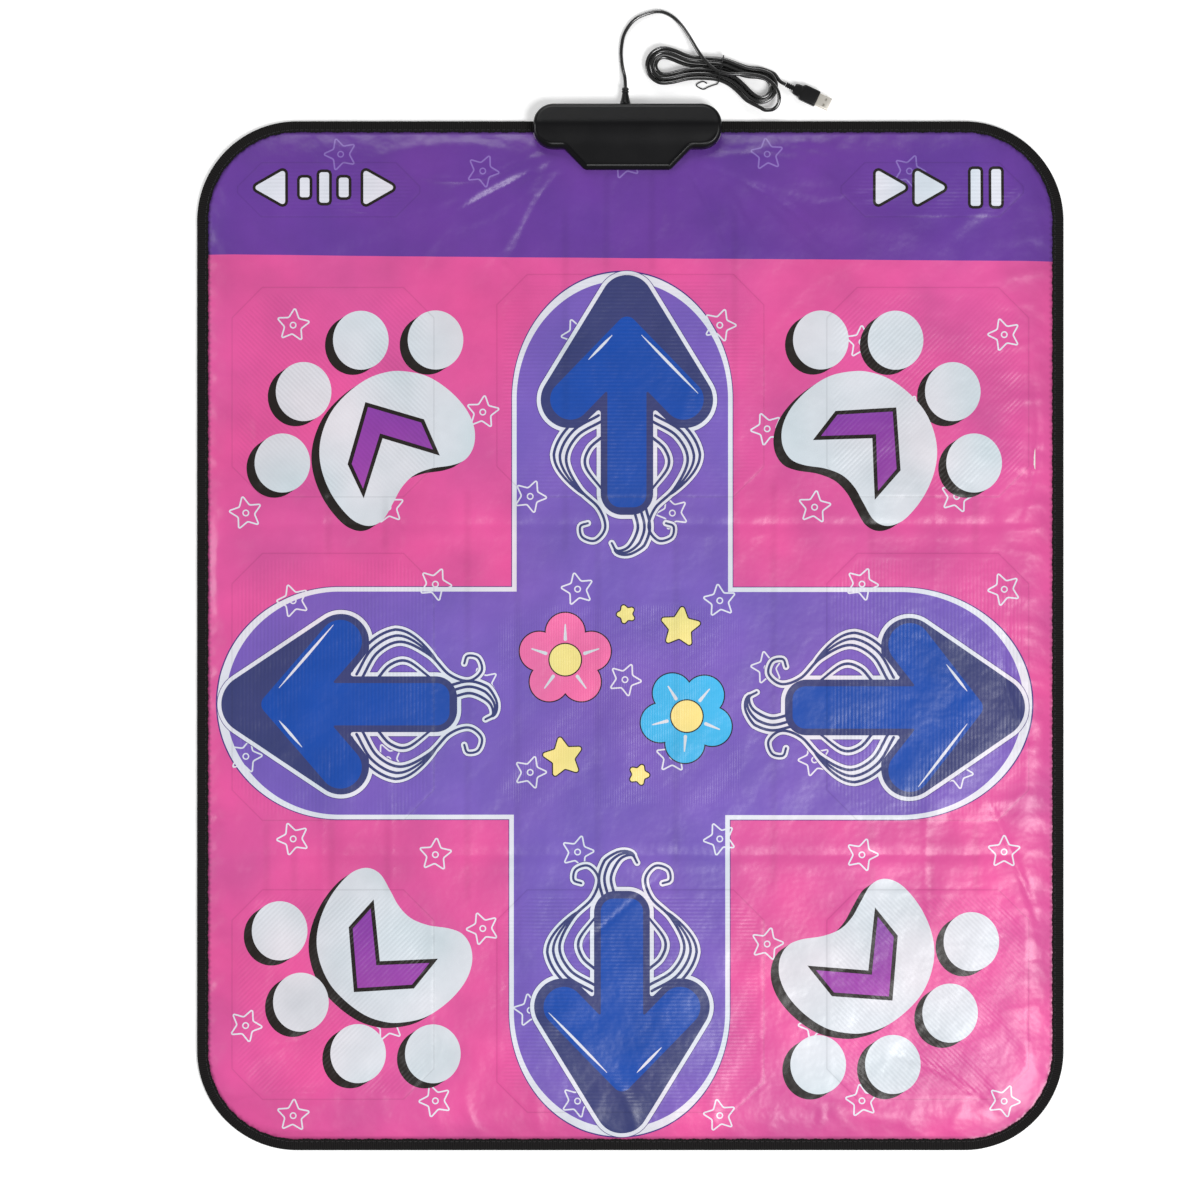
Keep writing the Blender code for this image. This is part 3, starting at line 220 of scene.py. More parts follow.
@dataclass(frozen=True)
class PrintedSatin(Finish):
    """Polyester satin printed in solid inks and laminated with a thin clear film.

    The film gives a broad soft shine that breaks up on fine crinkles, the weave shows as a faint
    grain, and the ridges of the sensor sheets under it show as hatched lines, raised, with painted shade in
    their hollows.
    """

    weave_mm: float = 0.9
    weave_depth_mm: float = 0.012
    weave_waver: float = 1.2
    crinkle_mm: float = 16.0
    crinkle_depth_mm: float = 0.9
    hatch_mm: float = 3.4
    hatch_depth_mm: float = 0.05
    # The hatched lines' ink gets painted shade in their hollows and painted light on their crests.
    hatch_painted_shade: float = 0.05
    # A thin painted shade runs along the edge of each sensor octagon.
    octagon_painted_shade_mm: float = 1.0
    octagon_painted_shade: float = 0.16
    # The mottle is partly uneven ink and partly painted light and shade standing in for the film's soft
    # undulations.
    mottle_and_painted_light_mm: float = 60.0
    mottle_and_painted_light: float = 0.24
    # The tint drifts between two hues, partly a real fade of the inks and partly painted coloured reflection.
    tint_mm: float = 120.0
    tint_run: Point = (-0.75, 1.75)
    cool_tint: Triple = (0.93, 1.02, 1.03)
    warm_tint: Triple = (1.06, 0.97, 0.98)

    def pattern(self, tree: Tree, shader: Node) -> None:
        """Colour it by its inks; add the weave, the crinkles and the hatching under it."""
        place = add_node(tree, "ShaderNodeTexCoord").outputs["Object"]
        hatch = add_node(tree, "ShaderNodeAttribute", attribute_name="sensor_hatch").outputs["Vector"]
        across, strength, deep = add_node(tree, "ShaderNodeSeparateXYZ", {0: hatch}).outputs
        phase = maths(tree, "MULTIPLY", across, math.tau / (self.hatch_mm * MM))
        line = maths(tree, "MULTIPLY", maths(tree, "SINE", phase), strength)
        self.print_inks(tree, shader, line, deep)
        crinkle = self.grain(tree, self.crinkle_mm, 2.0)
        self.vary_shine(tree, shader, crinkle, 0.06, 0.08)
        weave = waves(tree, place, self.weave_mm, self.weave_waver, "Y")
        height = self.spread(tree, crinkle, 0.0, self.crinkle_depth_mm)
        height = maths(tree, "MULTIPLY_ADD", weave, self.weave_depth_mm, height)
        height = maths(tree, "MULTIPLY_ADD", line, self.hatch_depth_mm, height)
        self.relief(tree, shader, height, 1.0)

    def print_inks(self, tree: Tree, shader: Node, line: Socket, deep: Socket) -> None:
        """Lay the inks, with painted light and shade on them: a broad mottle, partly uneven ink and partly
        painted light and shade of the film's soft undulations; painted shade in the hollows of the hatched
        lines and painted light on their crests; painted shade along each octagon's edge; and a hue drift,
        partly a real fade and partly a painted coloured reflection.

        Args:
            tree: the material's tree.
            shader: its Principled BSDF.
            line: the hatched lines, from -1 to 1.
            deep: the way into the sensor's octagon, in metres.
        """
        ink = add_node(tree, "ShaderNodeAttribute", attribute_name="print_ink").outputs["Color"]
        # A broad mottle: partly uneven ink, partly painted light and shade of the film's soft undulations.
        mottle_and_painted_light = self.grain(tree, self.mottle_and_painted_light_mm, 4.0)
        shade = self.spread(tree, mottle_and_painted_light, 1 - self.mottle_and_painted_light, 1 + self.mottle_and_painted_light)
        # Painted shade in the hollows of the hatched lines, painted light on their crests.
        shade = maths(tree, "MULTIPLY_ADD", line, self.hatch_painted_shade, shade)
        # Painted shade along the edge of each sensor octagon, within a millimetre of it.
        links = {
            "Value": maths(tree, "ABSOLUTE", deep), "From Max": self.octagon_painted_shade_mm * MM,
            "To Min": -self.octagon_painted_shade, "To Max": 0.0,
        }
        octagon_shade = add_node(tree, "ShaderNodeMapRange", links, interpolation_type="SMOOTHSTEP")
        links = {0: ink, "Scale": maths(tree, "ADD", shade, octagon_shade.outputs["Result"])}
        colour = add_node(tree, "ShaderNodeVectorMath", links, operation="SCALE").outputs["Vector"]
        # A slow hue drift: partly a real fade, partly painted coloured reflection.
        drift = self.spread(tree, self.grain(tree, self.tint_mm, 2.0), *self.tint_run)
        links = {0: colour, 1: self.between(tree, drift, self.cool_tint, self.warm_tint)}
        tinted = add_node(tree, "ShaderNodeVectorMath", links, operation="MULTIPLY")
        tree.links.new(tinted.outputs["Vector"], shader.inputs["Base Color"])


@dataclass(frozen=True)
class WovenTape(Finish):
    """Woven polyester binding tape: fine ribs run across the tape, so its edge looks toothed."""

    rib_mm: float = 2.0
    rib_depth_mm: float = 0.35
    rib_colour: str = "1D1B1B"

    def pattern(self, tree: Tree, shader: Node) -> None:
        """Draw ribs along the tape's own length, coarser than real ones so that they show."""
        place = add_node(tree, "ShaderNodeUVMap", uv_map="tape").outputs["UV"]
        rib = waves(tree, place, self.rib_mm, 0.6, "X")
        colour = self.between(tree, rib, linear(self.colour), linear(self.rib_colour))
        tree.links.new(colour, shader.inputs["Base Color"])
        fuzzy = maths(tree, "ADD", rib, self.grain(tree, 0.8))
        self.relief(tree, shader, fuzzy, self.rib_depth_mm)


@dataclass(frozen=True)
class Moulded(Finish):
    """Injection-moulded ABS or PVC with a fine spark-eroded texture."""

    texture_mm: float = 0.7
    depth_mm: float = 0.03
    cloud_mm: float = 25.0

    def pattern(self, tree: Tree, shader: Node) -> None:
        """Add the mould's fine texture and the slight unevenness of its shine."""
        self.vary_shine(tree, shader, self.grain(tree, self.cloud_mm), 0.05, 0.05)
        self.relief(tree, shader, self.grain(tree, self.texture_mm), self.depth_mm)


@dataclass(frozen=True)
class Cloth(Finish):
    """Plain-woven polyester cloth: two crossed sets of threads."""

    thread_mm: float = 1.1
    thread_depth_mm: float = 0.25
    sheen: float = 0.15

    def pattern(self, tree: Tree, shader: Node) -> None:
        """Add the crossed threads, coarser than real ones so that they show."""
        place = add_node(tree, "ShaderNodeTexCoord").outputs["Object"]
        warp, weft = (waves(tree, place, self.thread_mm, 0.8, axis) for axis in "XY")
        shader.inputs["Sheen Weight"].default_value = self.sheen
        self.relief(tree, shader, maths(tree, "MULTIPLY", warp, weft), self.thread_depth_mm)


@dataclass(frozen=True)
class BrushedMetal(Finish):
    """Nickel-plated steel, drawn, with faint lines along it."""

    line_mm: float = 0.25

    def pattern(self, tree: Tree, shader: Node) -> None:
        """Add the drawing lines to the shine."""
        self.vary_shine(tree, shader, self.grain(tree, self.line_mm), 0.04, 0.06)


SATIN = PrintedSatin("printed_satin_laminate", "DD559A", roughness=0.33)
TAPE = WovenTape("woven_polyester_tape", "0D0C0C", roughness=0.9, specular=0.2)
ABS = Moulded("moulded_abs", "0B0B0D", roughness=0.3, specular=0.28)
PVC = Moulded(
    "soft_pvc_jacket", "080808", roughness=0.24, specular=0.9, coat=1.0, texture_mm=1.6, depth_mm=0.01,
)
PLUG_PVC = Moulded(
    "moulded_pvc_grip", "0B0B0C", roughness=0.38, specular=0.4, texture_mm=0.5, depth_mm=0.04,
)
BASE_CLOTH = Cloth("non_slip_base_cloth", "17171A", roughness=0.88)
GRIP_DOT = Moulded("printed_pvc_grip_dot", "26262A", roughness=0.55)
THREAD = Cloth("polyester_sewing_thread", "1A1A1D", roughness=0.6, thread_mm=0.5)
NICKEL = BrushedMetal("nickel_plated_steel", "F1ECE2", roughness=0.44, metallic=1.0)
FOAM = Moulded("closed_cell_pe_foam", "E4E3DC", roughness=0.9, texture_mm=1.2, depth_mm=0.15)
FILM = Moulded("printed_electrode_film", "9DA1A5", roughness=0.4, texture_mm=4.0)
SOLDER_MASK = Moulded("green_solder_mask", "1F6B3A", roughness=0.4, texture_mm=3.0)
EPOXY = Moulded("black_epoxy_blob", "0B0B0C", roughness=0.2, texture_mm=5.0)
SLEEVE = Moulded("capacitor_sleeve", "1B2440", roughness=0.35, texture_mm=3.0)
INSERT = Moulded("white_plug_tongue", "E9E7E0", roughness=0.45, texture_mm=1.0)
MADE: dict[str, bpy.types.Material] = {}


def made(finish: Finish) -> bpy.types.Material:
    """Return a finish's material, built once."""
    if finish.name not in MADE:
        MADE[finish.name] = finish.build()
    return MADE[finish.name]


# Drawing in the plane, in millimetres


def arc_points(
    centre: Point, radius: Point, start: float, finish: float, step_mm: float = 1.6,
) -> Array:
    """Return points along an arc of an ellipse.

    Args:
        centre: its centre.
        radius: its half widths in x and y.
        start: the first angle in degrees.
        finish: the last angle in degrees.
        step_mm: the distance between points.
    """
    length = math.radians(abs(finish - start)) * max(radius)
    angles = np.radians(np.linspace(start, finish, max(4, math.ceil(length / step_mm) + 1)))
    return np.stack([centre[0] + radius[0] * np.cos(angles), centre[1] + radius[1] * np.sin(angles)], 1)


def circle(centre: Point, radius: Point | float, step_mm: float = 1.6) -> Array:
    """Return the outline of a circle, or of an ellipse where radius is a pair."""
    both = radius if isinstance(radius, tuple) else (radius, radius)
    return arc_points(centre, both, 0, 360, step_mm)[:-1]


def round_corners(corners: Sequence[Triple], step_mm: float = 1.6) -> Array:
    """Return a polygon's points with its corners (x, y, radius) rounded."""
    points: list[Array] = []
    count = len(corners)
    for index, (x, y, radius) in enumerate(corners):
        here = np.array((x, y), float)
        before = np.array(corners[index - 1][:2]) - here
        after = np.array(corners[(index + 1) % count][:2]) - here
        if radius <= 0:
            points.append(here[None])
            continue
        before, after = unit(before), unit(after)
        half = math.acos(np.clip(before @ after, -1, 1)) / 2
        reach = radius / math.tan(half)
        centre = here + unit(before + after) * radius / math.sin(half)
        first = here + before * reach - centre
        last = here + after * reach - centre
        turn = math.atan2(first[0] * last[1] - first[1] * last[0], first @ last)
        steps = max(2, math.ceil(abs(turn) * radius / step_mm))
        for share in np.linspace(0, turn, steps + 1):
            c, s = math.cos(share), math.sin(share)
            points.append((centre + (first[0] * c - first[1] * s, first[0] * s + first[1] * c))[None])
    return np.concatenate(points)


def smooth_through(
    points: Sequence[Sequence[float]] | Array, step_mm: float = 2.0, closed: bool = False,
) -> Array:
    """Return points about step_mm apart on a smooth curve, flat or in space, through the given ones."""
    p = np.array(points, float)
    ends = (p[-1:], p[:2]) if closed else (2 * p[:1] - p[1:2], 2 * p[-1:] - p[-2:-1])
    p = np.concatenate([ends[0], p, ends[1]])
    out = []
    for a, b, c, d in zip(p, p[1:], p[2:], p[3:]):
        parts = max(2, math.ceil(np.linalg.norm(c - b) / step_mm))
        t = np.arange(parts)[:, None] / parts
        square, cube = 2 * a - 5 * b + 4 * c - d, 3 * b - a - 3 * c + d
        out.append((2 * b + (c - a) * t + square * t**2 + cube * t**3) / 2)
    if not closed:
        out.append(p[-2:-1])
    return np.concatenate(out)


def bezier(handles: Sequence[Array], shares: Iterable[float]) -> list[Array]:
    """Return the points at some shares of the way along a cubic curve with four handles."""
    a, b, c, d = handles
    return [(1 - t) ** 3 * a + 3 * t * (1 - t) ** 2 * b + 3 * t * t * (1 - t) * c + t**3 * d for t in shares]


def nearest(points: Array, line: Array) -> tuple[Array, Array]:
    """Return each point's distance from an open line, and its place along it from 0 to 1."""
    best, along = np.full(len(points), np.inf), np.zeros(len(points))
    for index, (a, b) in enumerate(zip(line, line[1:])):
        step = b - a
        t = np.clip((points - a) @ step / (step @ step), 0, 1)
        distance = np.linalg.norm(points - a - t[:, None] * step, axis=1)
        nearer = distance < best
        best[nearer] = distance[nearer]
        along[nearer] = (index + t[nearer]) / (len(line) - 1)
    return best, along


def unit(vector: Array) -> Array:
    """Return a vector at length 1."""
    return vector / np.linalg.norm(vector)


def normals_along(path: Array, closed: bool, least_lean: float = 0.4) -> Array:
    """Return a path's unit normals, to the right of its direction, lengthened at corners."""
    ahead = np.roll(path, -1, 0) - path
    if not closed:
        ahead[-1] = ahead[-2]
    ahead /= np.linalg.norm(ahead, axis=1)[:, None]
    back = np.roll(ahead, 1, 0)
    if not closed:
        back[0] = ahead[0]
    normal = np.stack([ahead[:, 1] + back[:, 1], -ahead[:, 0] - back[:, 0]], 1)
    normal /= np.maximum(np.linalg.norm(normal, axis=1), 1e-9)[:, None]
    lean = np.maximum(least_lean, normal[:, 0] * ahead[:, 1] - normal[:, 1] * ahead[:, 0])
    return normal / lean[:, None]


def grow(loop: Array, distance: float) -> Array:
    """Return a closed counter-clockwise outline moved outwards by distance."""
    return loop + normals_along(loop, True) * distance


def quarter_turned(loop: Array, turns: int) -> Array:
    """Return points turned counter-clockwise about the origin by quarter turns."""
    for _ in range(turns):
        loop = np.stack([-loop[:, 1], loop[:, 0]], 1)
    return loop


def turned_ccw(loop: Array) -> Array:
    """Return a closed outline in counter-clockwise order."""
    x, y = loop.T
    area = np.sum(x * np.roll(y, -1) - np.roll(x, -1) * y)
    return loop if area > 0 else loop[::-1]


def ribbon(path: Array, widths: Sequence[float]) -> Array:
    """Return the outline of a pen line along an open path, with round ends.

    Args:
        path: its centre line.
        widths: the pen's widths, spread evenly from its start to its end.
    """
    half = np.interp(np.linspace(0, 1, len(path)), np.linspace(0, 1, len(widths)), widths)[:, None] / 2
    side = normals_along(path, False) * half
    ends = []
    for index, step in ((-1, -2), (0, 1)):
        along = path[index] - path[step]
        angle = math.degrees(math.atan2(along[1], along[0]))
        radius = float(half[index, 0])
        ends.append(arc_points(tuple(path[index]), (radius, radius), angle - 90, angle + 90, 0.7)[1:-1])
    return turned_ccw(np.concatenate([path + side, ends[0], (path - side)[::-1], ends[1]]))


def star(centre: Point, outer: float, inner: float, tips: int, angle: float, rounding: float) -> Array:
    """Return a star's outline with rounded tips."""
    corners = []
    for step in range(2 * tips):
        radius = inner if step % 2 else outer
        a = math.radians(angle) + math.pi * step / tips
        corners.append((centre[0] + radius * math.cos(a), centre[1] + radius * math.sin(a), rounding))
    return round_corners(corners, 1.0)


def covered_by(loops: Iterable[Array], points: Array) -> Array:
    """Tell for each point whether the outlines cover it, by how often they wind round it."""
    winding = np.zeros(len(points), int)
    x, y = points.T
    for loop in loops:
        for (ax, ay), (bx, by) in zip(loop, np.roll(loop, -1, 0)):
            if ay == by:
                continue
            spans = (y >= min(ay, by)) & (y < max(ay, by))
            left = x[spans] < ax + (y[spans] - ay) * (bx - ax) / (by - ay)
            winding[spans] += left * (1 if by > ay else -1)
    return winding != 0


# The print


class Ink(Enum):
    """Inks of the print; the two LOW ones are those that a fade ends in."""

    FIELD = "DD559A"
    BAND = "673A99"
    CROSS = "765BB6"
    EDGE = "45307E"
    WHITE = "DEDFE8"
    FAINT = "8C6FBC"
    NAVY = "373D71"
    BLUE = "0C48A6"
    BLUE_LOW = "1C4BA6"
    PALE = "D4D9DF"
    SHADOW = "1C1512"
    VIOLET = "80399F"
    VIOLET_LOW = "9C42A6"
    PETAL = "EF6FA6"
    SKY = "3FB4E6"
    YELLOW = "F3E08A"


@dataclass
class Shape:
    """One printed shape: its outlines, holes turned the other way, and its ink."""

    loops: list[Array]
    ink: Ink
    fade: tuple[Ink, Point, Point] | None = None

    def colours(self, points: Array) -> Array:
        """Return the ink's colour at each point; a fade runs from the ink to a second colour."""
        first = np.array(linear(self.ink.value))
        if self.fade is None:
            return np.tile(first, (len(points), 1))
        second, start, end = self.fade
        run = np.subtract(end, start)
        share = np.clip((points - start) @ run / (run @ run), 0, 1)[:, None]
        return first + (np.array(linear(second.value)) - first) * share

    def box(self) -> tuple[Array, Array]:
        """Return the lowest and highest corner."""
        every = np.concatenate(self.loops)
        return every.min(0), every.max(0)

@dataclass
class ArrowPrint:
    """A step arrow: a blue arrow on a navy one, outlined in white, with scrolls at its tail.

    It is drawn pointing up, with its apex at the origin. The brow is how far below the apex the
    blue head's arms would start, and the pens are the scrolls' outline, edge and core widths.
    """

    apex: Point
    turn: int
    spread: float = 52.0
    reach: float = 76.6
    length: float = 176.0
    arm: float = 18.5
    shaft: float = 18.0
    head: float = 38.0
    brow: float = 23.0
    lobe_share: float = 0.97
    pens: Triple = (8.8, 7.6, 2.6)

    def place(self, loop: Array) -> Array:
        """Return an outline drawn for an arrow that points up, turned and moved to its place."""
        return quarter_turned(loop, self.turn) + np.array(self.apex)

    @staticmethod
    def mirrored(right: Sequence[Triple]) -> Array:
        """Return a symmetric outline from the corners of its right half, top to bottom."""
        left = [(-x, y, radius) for x, y, radius in reversed(right) if x > 0]
        return turned_ccw(round_corners([*right, *left]))

    def slope(self) -> float:
        """Return how far the head's arms fall for each millimetre sideways."""
        return (self.reach - self.brow) / self.spread

    def blue_outline(self) -> Array:
        """Return the blue arrow's outline: two rounded arms at the apex and a rounded shaft."""
        slope, rounding = self.slope(), self.arm * self.lobe_share
        out, along = (unit(np.array(way)) * self.arm for way in ((slope, 1), (1, -slope)))
        lobe = np.array((self.spread, -self.reach)) + along
        (outer_x, outer_y), (inner_x, inner_y) = (lobe + out).tolist(), (lobe - out).tolist()
        return self.mirrored((
            (0.0, outer_y + outer_x * slope, 9.0),
            (outer_x, outer_y, rounding),
            (inner_x, inner_y, rounding),
            (self.shaft, inner_y + (inner_x - self.shaft) * slope, 1.0),
            (self.shaft, -self.length, 12.0),
        ))

    def navy_outline(self) -> Array:
        """Return the navy arrow behind the blue one."""
        tip = self.head + 22
        wide, low = self.spread + 47.8, -self.reach - 26.4
        half_angle = math.atan2(wide, tip - low)
        return self.mirrored((
            (0.0, tip, (tip - self.head) / (1 / math.sin(half_angle) - 1)),
            (wide, low, 26.0),
            (self.spread - 8, low, 4.0),
            (self.shaft + 6.2, low + 19, 2.0),
            (self.shaft + 6.2, -self.length - 7, 20.0),
        ))

    def scrolls(self) -> list[Array]:
        """Return the centre lines of the scrolls on the arrow's right and below it."""
        x, y, end = self.shaft, -self.reach, -self.length
        side = [(x + 5, y - 20), (x + 28, y - 34), (x + 38, y - 56), (x + 26, y - 82), (x + 8, y - 100),
                (x + 2, y - 118), (x + 11, y - 130), (x + 23, y - 127), (x + 25, y - 117), (x + 18, y - 114)]
        inner = [(x + 4, y - 34), (x + 17, y - 46), (x + 20, y - 62), (x + 4, y - 84)]
        tail = [(7.0, end - 4), (10.0, end - 20), (2.0, end - 36), (-9.0, end - 40), (-14.0, end - 33)]
        lines = [smooth_through(line) for line in (side, inner, tail)]
        for line, asides, end in ((lines[0], (-6.0, -11.6), 0.52), (lines[2], (-6.0, -11.0), 0.9)):
            lines += [self.strand(line, aside, end) for aside in asides]
        return lines

    @staticmethod
    def strand(line: Array, aside: float, end: float) -> Array:
        """Return a line's first part, drawn to one side of it and joining it at its end."""
        part = line[: int(len(line) * end)]
        run = np.linspace(1, 0, len(part))[:, None]
        return part + normals_along(part, False) * aside * np.minimum(1, run * 2.2)

    def shapes(self) -> Iterable[Shape]:
        """Give the arrow's shapes, the lowest first."""
        navy, blue = self.navy_outline(), self.blue_outline()
        lines = self.scrolls()
        lines += [line * (-1, 1) for line in (*lines[:2], *lines[3:5])]
        for width, ink in zip(self.pens, (Ink.EDGE, Ink.WHITE, Ink.NAVY)):
            if ink is not Ink.NAVY:
                yield Shape([self.place(grow(navy, (width - 0.2) / 2))], ink)
            for line in lines:
                yield Shape([self.place(ribbon(line, (width, width, width * 0.8)))], ink)
        yield Shape([self.place(navy)], Ink.NAVY)
        fade = self.place(np.array([(0.0, -10.0), (0.0, -self.length)]))
        yield Shape([self.place(blue)], Ink.BLUE, (Ink.BLUE_LOW, tuple(fade[0]), tuple(fade[1])))
        for sign, start, stop in ((-1, 0.26, 0.68), (1, 0.26, 1.26)):
            xs = np.linspace(start, stop, 24) * self.spread * sign
            line = np.stack([xs, -3.5 - np.abs(xs) * self.slope()], 1)
            yield Shape([self.place(ribbon(line, (0.5, 2.2, 2.6, 2.0, 0.5)))], Ink.WHITE)


@dataclass
class PawPrint:
    """A paw print with four round toes, a pad that bends round its middle, and a chevron on it."""

    mirror: Point
    shift: Point
    chevron: tuple[Point, ...]
    toe: Point = (25.6, 27.2)
    shadow: Point = (-7.4, -4.8)
    chevron_edge: float = 3.6

    def place(self, points: Sequence[Point] | Array) -> Array:
        """Return points drawn for the upper left paw, mirrored and moved to this one."""
        return turned_ccw(np.array(points, float) * self.mirror + self.shift)

    def shapes(self) -> Iterable[Shape]:
        """Give the paw's shapes, the lowest first."""
        pad = (
            (-210.7, 243.9), (-188, 239.4), (-167.8, 226.8), (-151.9, 209.7), (-144, 192), (-144.2, 175.5),
            (-151.5, 163), (-164, 157.3), (-183.7, 154.1), (-199.6, 147.7), (-210.7, 136.6), (-218.7, 122.3),
            (-228, 107), (-240, 101.3), (-253.5, 105.2), (-265.5, 116.4), (-276.2, 132), (-283.9, 150.9),
            (-286.5, 170), (-283.1, 189.5), (-274.3, 208.1), (-260, 224), (-243, 236.3), (-226.6, 242.4),
        )
        toes = ((-248.3, 272.3), (-179.5, 272.6), (-301, 225), (-320.6, 159.2))
        whole = [self.place(smooth_through(pad, closed=True))]
        whole += [self.place(circle(centre, self.toe)) for centre in toes]
        for loop in whole:
            for share in (1.0, 0.66, 0.33):
                yield Shape([loop + np.array(self.shadow) * share], Ink.SHADOW)
        for loop in whole:
            yield Shape([loop], Ink.PALE)
        outer = turned_ccw(np.array(self.chevron))
        yield Shape([outer], Ink.SHADOW)
        x, low = outer.min(0)
        fade = (Ink.VIOLET_LOW, (x, outer[:, 1].max()), (x, low))
        yield Shape([grow(outer, -self.chevron_edge)], Ink.VIOLET, fade)


@dataclass
class Artwork:
    """The whole print of the mat, lowest shape first."""

    shapes: list[Shape] = field(default_factory=list)
    band_y: float = 348.0
    star_pitch: Point = (131.0, 79.0)
    menu_y: float = 413.0

    def add(self, ink: Ink, *loops: Array) -> None:
        """Add a shape on top of the ones so far."""
        self.shapes.append(Shape(list(loops), ink))

    def draw(self) -> "Artwork":
        """Draw every part of the print."""
        band = [(-420, 352), (-200, 349.5), (60, 347.5), (420, 345), (420, 520), (-420, 520)]
        self.add(Ink.BAND, np.array(band, float))
        self.cross()
        self.stars()
        for mirror, shift, *chevron in (
            ((1, 1), (0, 0), (-244.1, 215.3), (-190.1, 199.4), (-175.5, 166), (-228.2, 181.9),
             (-245.7, 126.6), (-260.5, 158.1)),
            ((-1, 1), (-4, 0), (244.9, 210.4), (248.9, 152.5), (225.1, 125.2), (222.8, 182),
             (168.1, 180.3), (188.9, 207.2)),
            ((1, -1), (-2.5, -112.5), (-236.5, -242.8), (-259.5, -268.4), (-254.7, -328.2),
             (-199.4, -324.8), (-177.3, -297.5), (-230.8, -299.7)),
            ((-1, -1), (-6.5, -122.5), (225.3, -250.1), (246.3, -276.2), (241.4, -336),
             (185.7, -332), (163.1, -303.9), (219.2, -308.3)),
        ):
            self.shapes += PawPrint(mirror, shift, tuple(chevron)).shapes()
        for arrow in (
            ArrowPrint((-3.2, 294.4), 0),
            ArrowPrint((-340.1, -63.0), 1, 58.0, 73.0, 173.5, 19.5, 19.5, 37.0),
            ArrowPrint((-7.8, -420.0), 2, 53.5, 78.0, 178.0, 18.5, 19.5, 39.0),
            ArrowPrint((325.4, -66.0), 3, 58.0, 68.0, 176.0, 19.5, 19.5, 38.0),
        ):
            self.shapes += arrow.shapes()
        self.middle()
        self.menu()
        return self

    def cross(self) -> None:
        """Draw the white-edged cross whose four arms end in arches."""
        arms = (
            ((-7.4, -60.0), 101.6, 278.0, 395.0, 0), ((-10.0, -60.0), 101.6, 286.0, 402.0, 2),
            ((-10.0, -62.0), 107.0, 258.0, 371.0, 1), ((-10.0, -62.4), 107.0, 258.0, 380.0, 3),
        )
        for ink, inset in ((Ink.EDGE, -0.7), (Ink.WHITE, 0.0), (Ink.CROSS, 4.2)):
            for centre, whole, shoulder, reach, turns in arms:
                half = whole - inset
                bow = arc_points((0, shoulder), (half, reach - shoulder - inset * 1.9), 0, 180)
                loop = np.concatenate([[(half, 0)], bow, [(-half, 0)]])
                self.add(ink, quarter_turned(loop, turns) + np.array(centre))
        middle = np.array([(-112.5, -173.0), (94.0, -173.0), (94.0, 45.5), (-112.5, 45.5)])
        self.add(Ink.CROSS, grow(middle, -14))

    def stars(self) -> None:
        """Scatter small outlined stars over the field, in rows that step sideways."""
        pitch, row_pitch = self.star_pitch
        for row in range(12):
            for column in range(7):
                x = -398 + column * pitch + (row % 3) * pitch / 3
                y = 436 - row * row_pitch + 9 * math.sin(2.1 * column + row)
                if abs(x) > 372 or abs(y) > 445 or abs(y - self.band_y) < 19:
                    continue
                angle = 90 + 24 * math.sin(1.7 * row + 2.3 * column)
                ink = Ink.FAINT if y > self.band_y - 8 else Ink.WHITE
                tips, dot = star((x, y), 18.0, 8.8, 5, angle, 1.8), circle((x, y), 3.2, 1.0)
                for loop, line in ((tips, 1.4), (dot, 1.2)):
                    self.add(ink, loop, grow(loop, -line)[::-1])

    def middle(self) -> None:
        """Draw two five-petalled flowers and four small stars in the middle of the cross."""
        for centre, petal, tilt in (((-60, -22), Ink.PETAL, 18), ((52, -74), Ink.SKY, 50)):
            self.flower(centre, 45.0, petal, tilt)
        for centre, size, angle in (
            ((46, 8), 21.0, 84), ((-62, -112), 21.0, 100), ((8, -128), 12.0, 70), ((-4, 20), 11.0, 110),
        ):
            outer = star(centre, size, size * 0.5, 5, angle, 2.0)
            self.add(Ink.SHADOW, grow(outer, 1.1))
            self.add(Ink.YELLOW, outer)

    def flower(self, centre: Point, size: float, petal: Ink, tilt: float) -> None:
        """Draw one outlined flower: five petals, a pale line in each, and its eye."""
        ways = [(math.cos(a), math.sin(a)) for a in (math.radians(tilt + 72 * step) for step in range(5))]
        for edge, ink in ((1.1, Ink.SHADOW), (0.0, petal)):
            for way in ways:
                middle = np.array(centre) + np.multiply(way, size * 0.56)
                self.add(ink, circle(tuple(middle), size * 0.40 + edge))
        for way in ways:
            line = np.array(centre) + np.outer(np.linspace(0.42, 0.72, 8) * size, way)
            self.add(Ink.PALE, ribbon(line, (3.2, 1.2)))
        self.add(Ink.SHADOW, circle(centre, 15.6))
        self.add(Ink.YELLOW, circle(centre, 14.5))

    def menu(self) -> None:
        """Draw the menu symbols: two facing arrowheads on the left, play and pause on the right."""
        y = self.menu_y

        def head(x: float, way: int) -> Array:
            return turned_ccw(round_corners([(x, y + 17, 2.5), (x, y - 17, 2.5), (x + way * 30, y, 2.5)]))

        def bar(x: float, tall: float) -> Array:
            left, right, low, high = x - 4.5, x + 4.5, y - tall, y + tall
            return round_corners([(left, low, 2), (right, low, 2), (right, high, 2), (left, high, 2)])

        marks = [head(-318, -1), head(-246, 1), bar(-300, 9), bar(-282, 14), bar(-264, 9)]
        marks += [head(262, 1), bar(318, 17), bar(337, 17), head(226, 1)]
        for loop in marks:
            self.add(Ink.SHADOW, grow(loop, 2.6))
        for loop in marks:
            self.add(Ink.WHITE, loop)


# Shape of the mat's top


def glide(value: Array) -> Array:
    """Return 0 below 0, 1 above 1 and a smooth climb between."""
    value = np.clip(value, 0, 1)
    return value * value * (3 - 2 * value)


def hump(value: Array, width: float) -> Array:
    """Return a bell, 1 at 0, that falls off over a width."""
    return np.exp(-((value / width) ** 2))


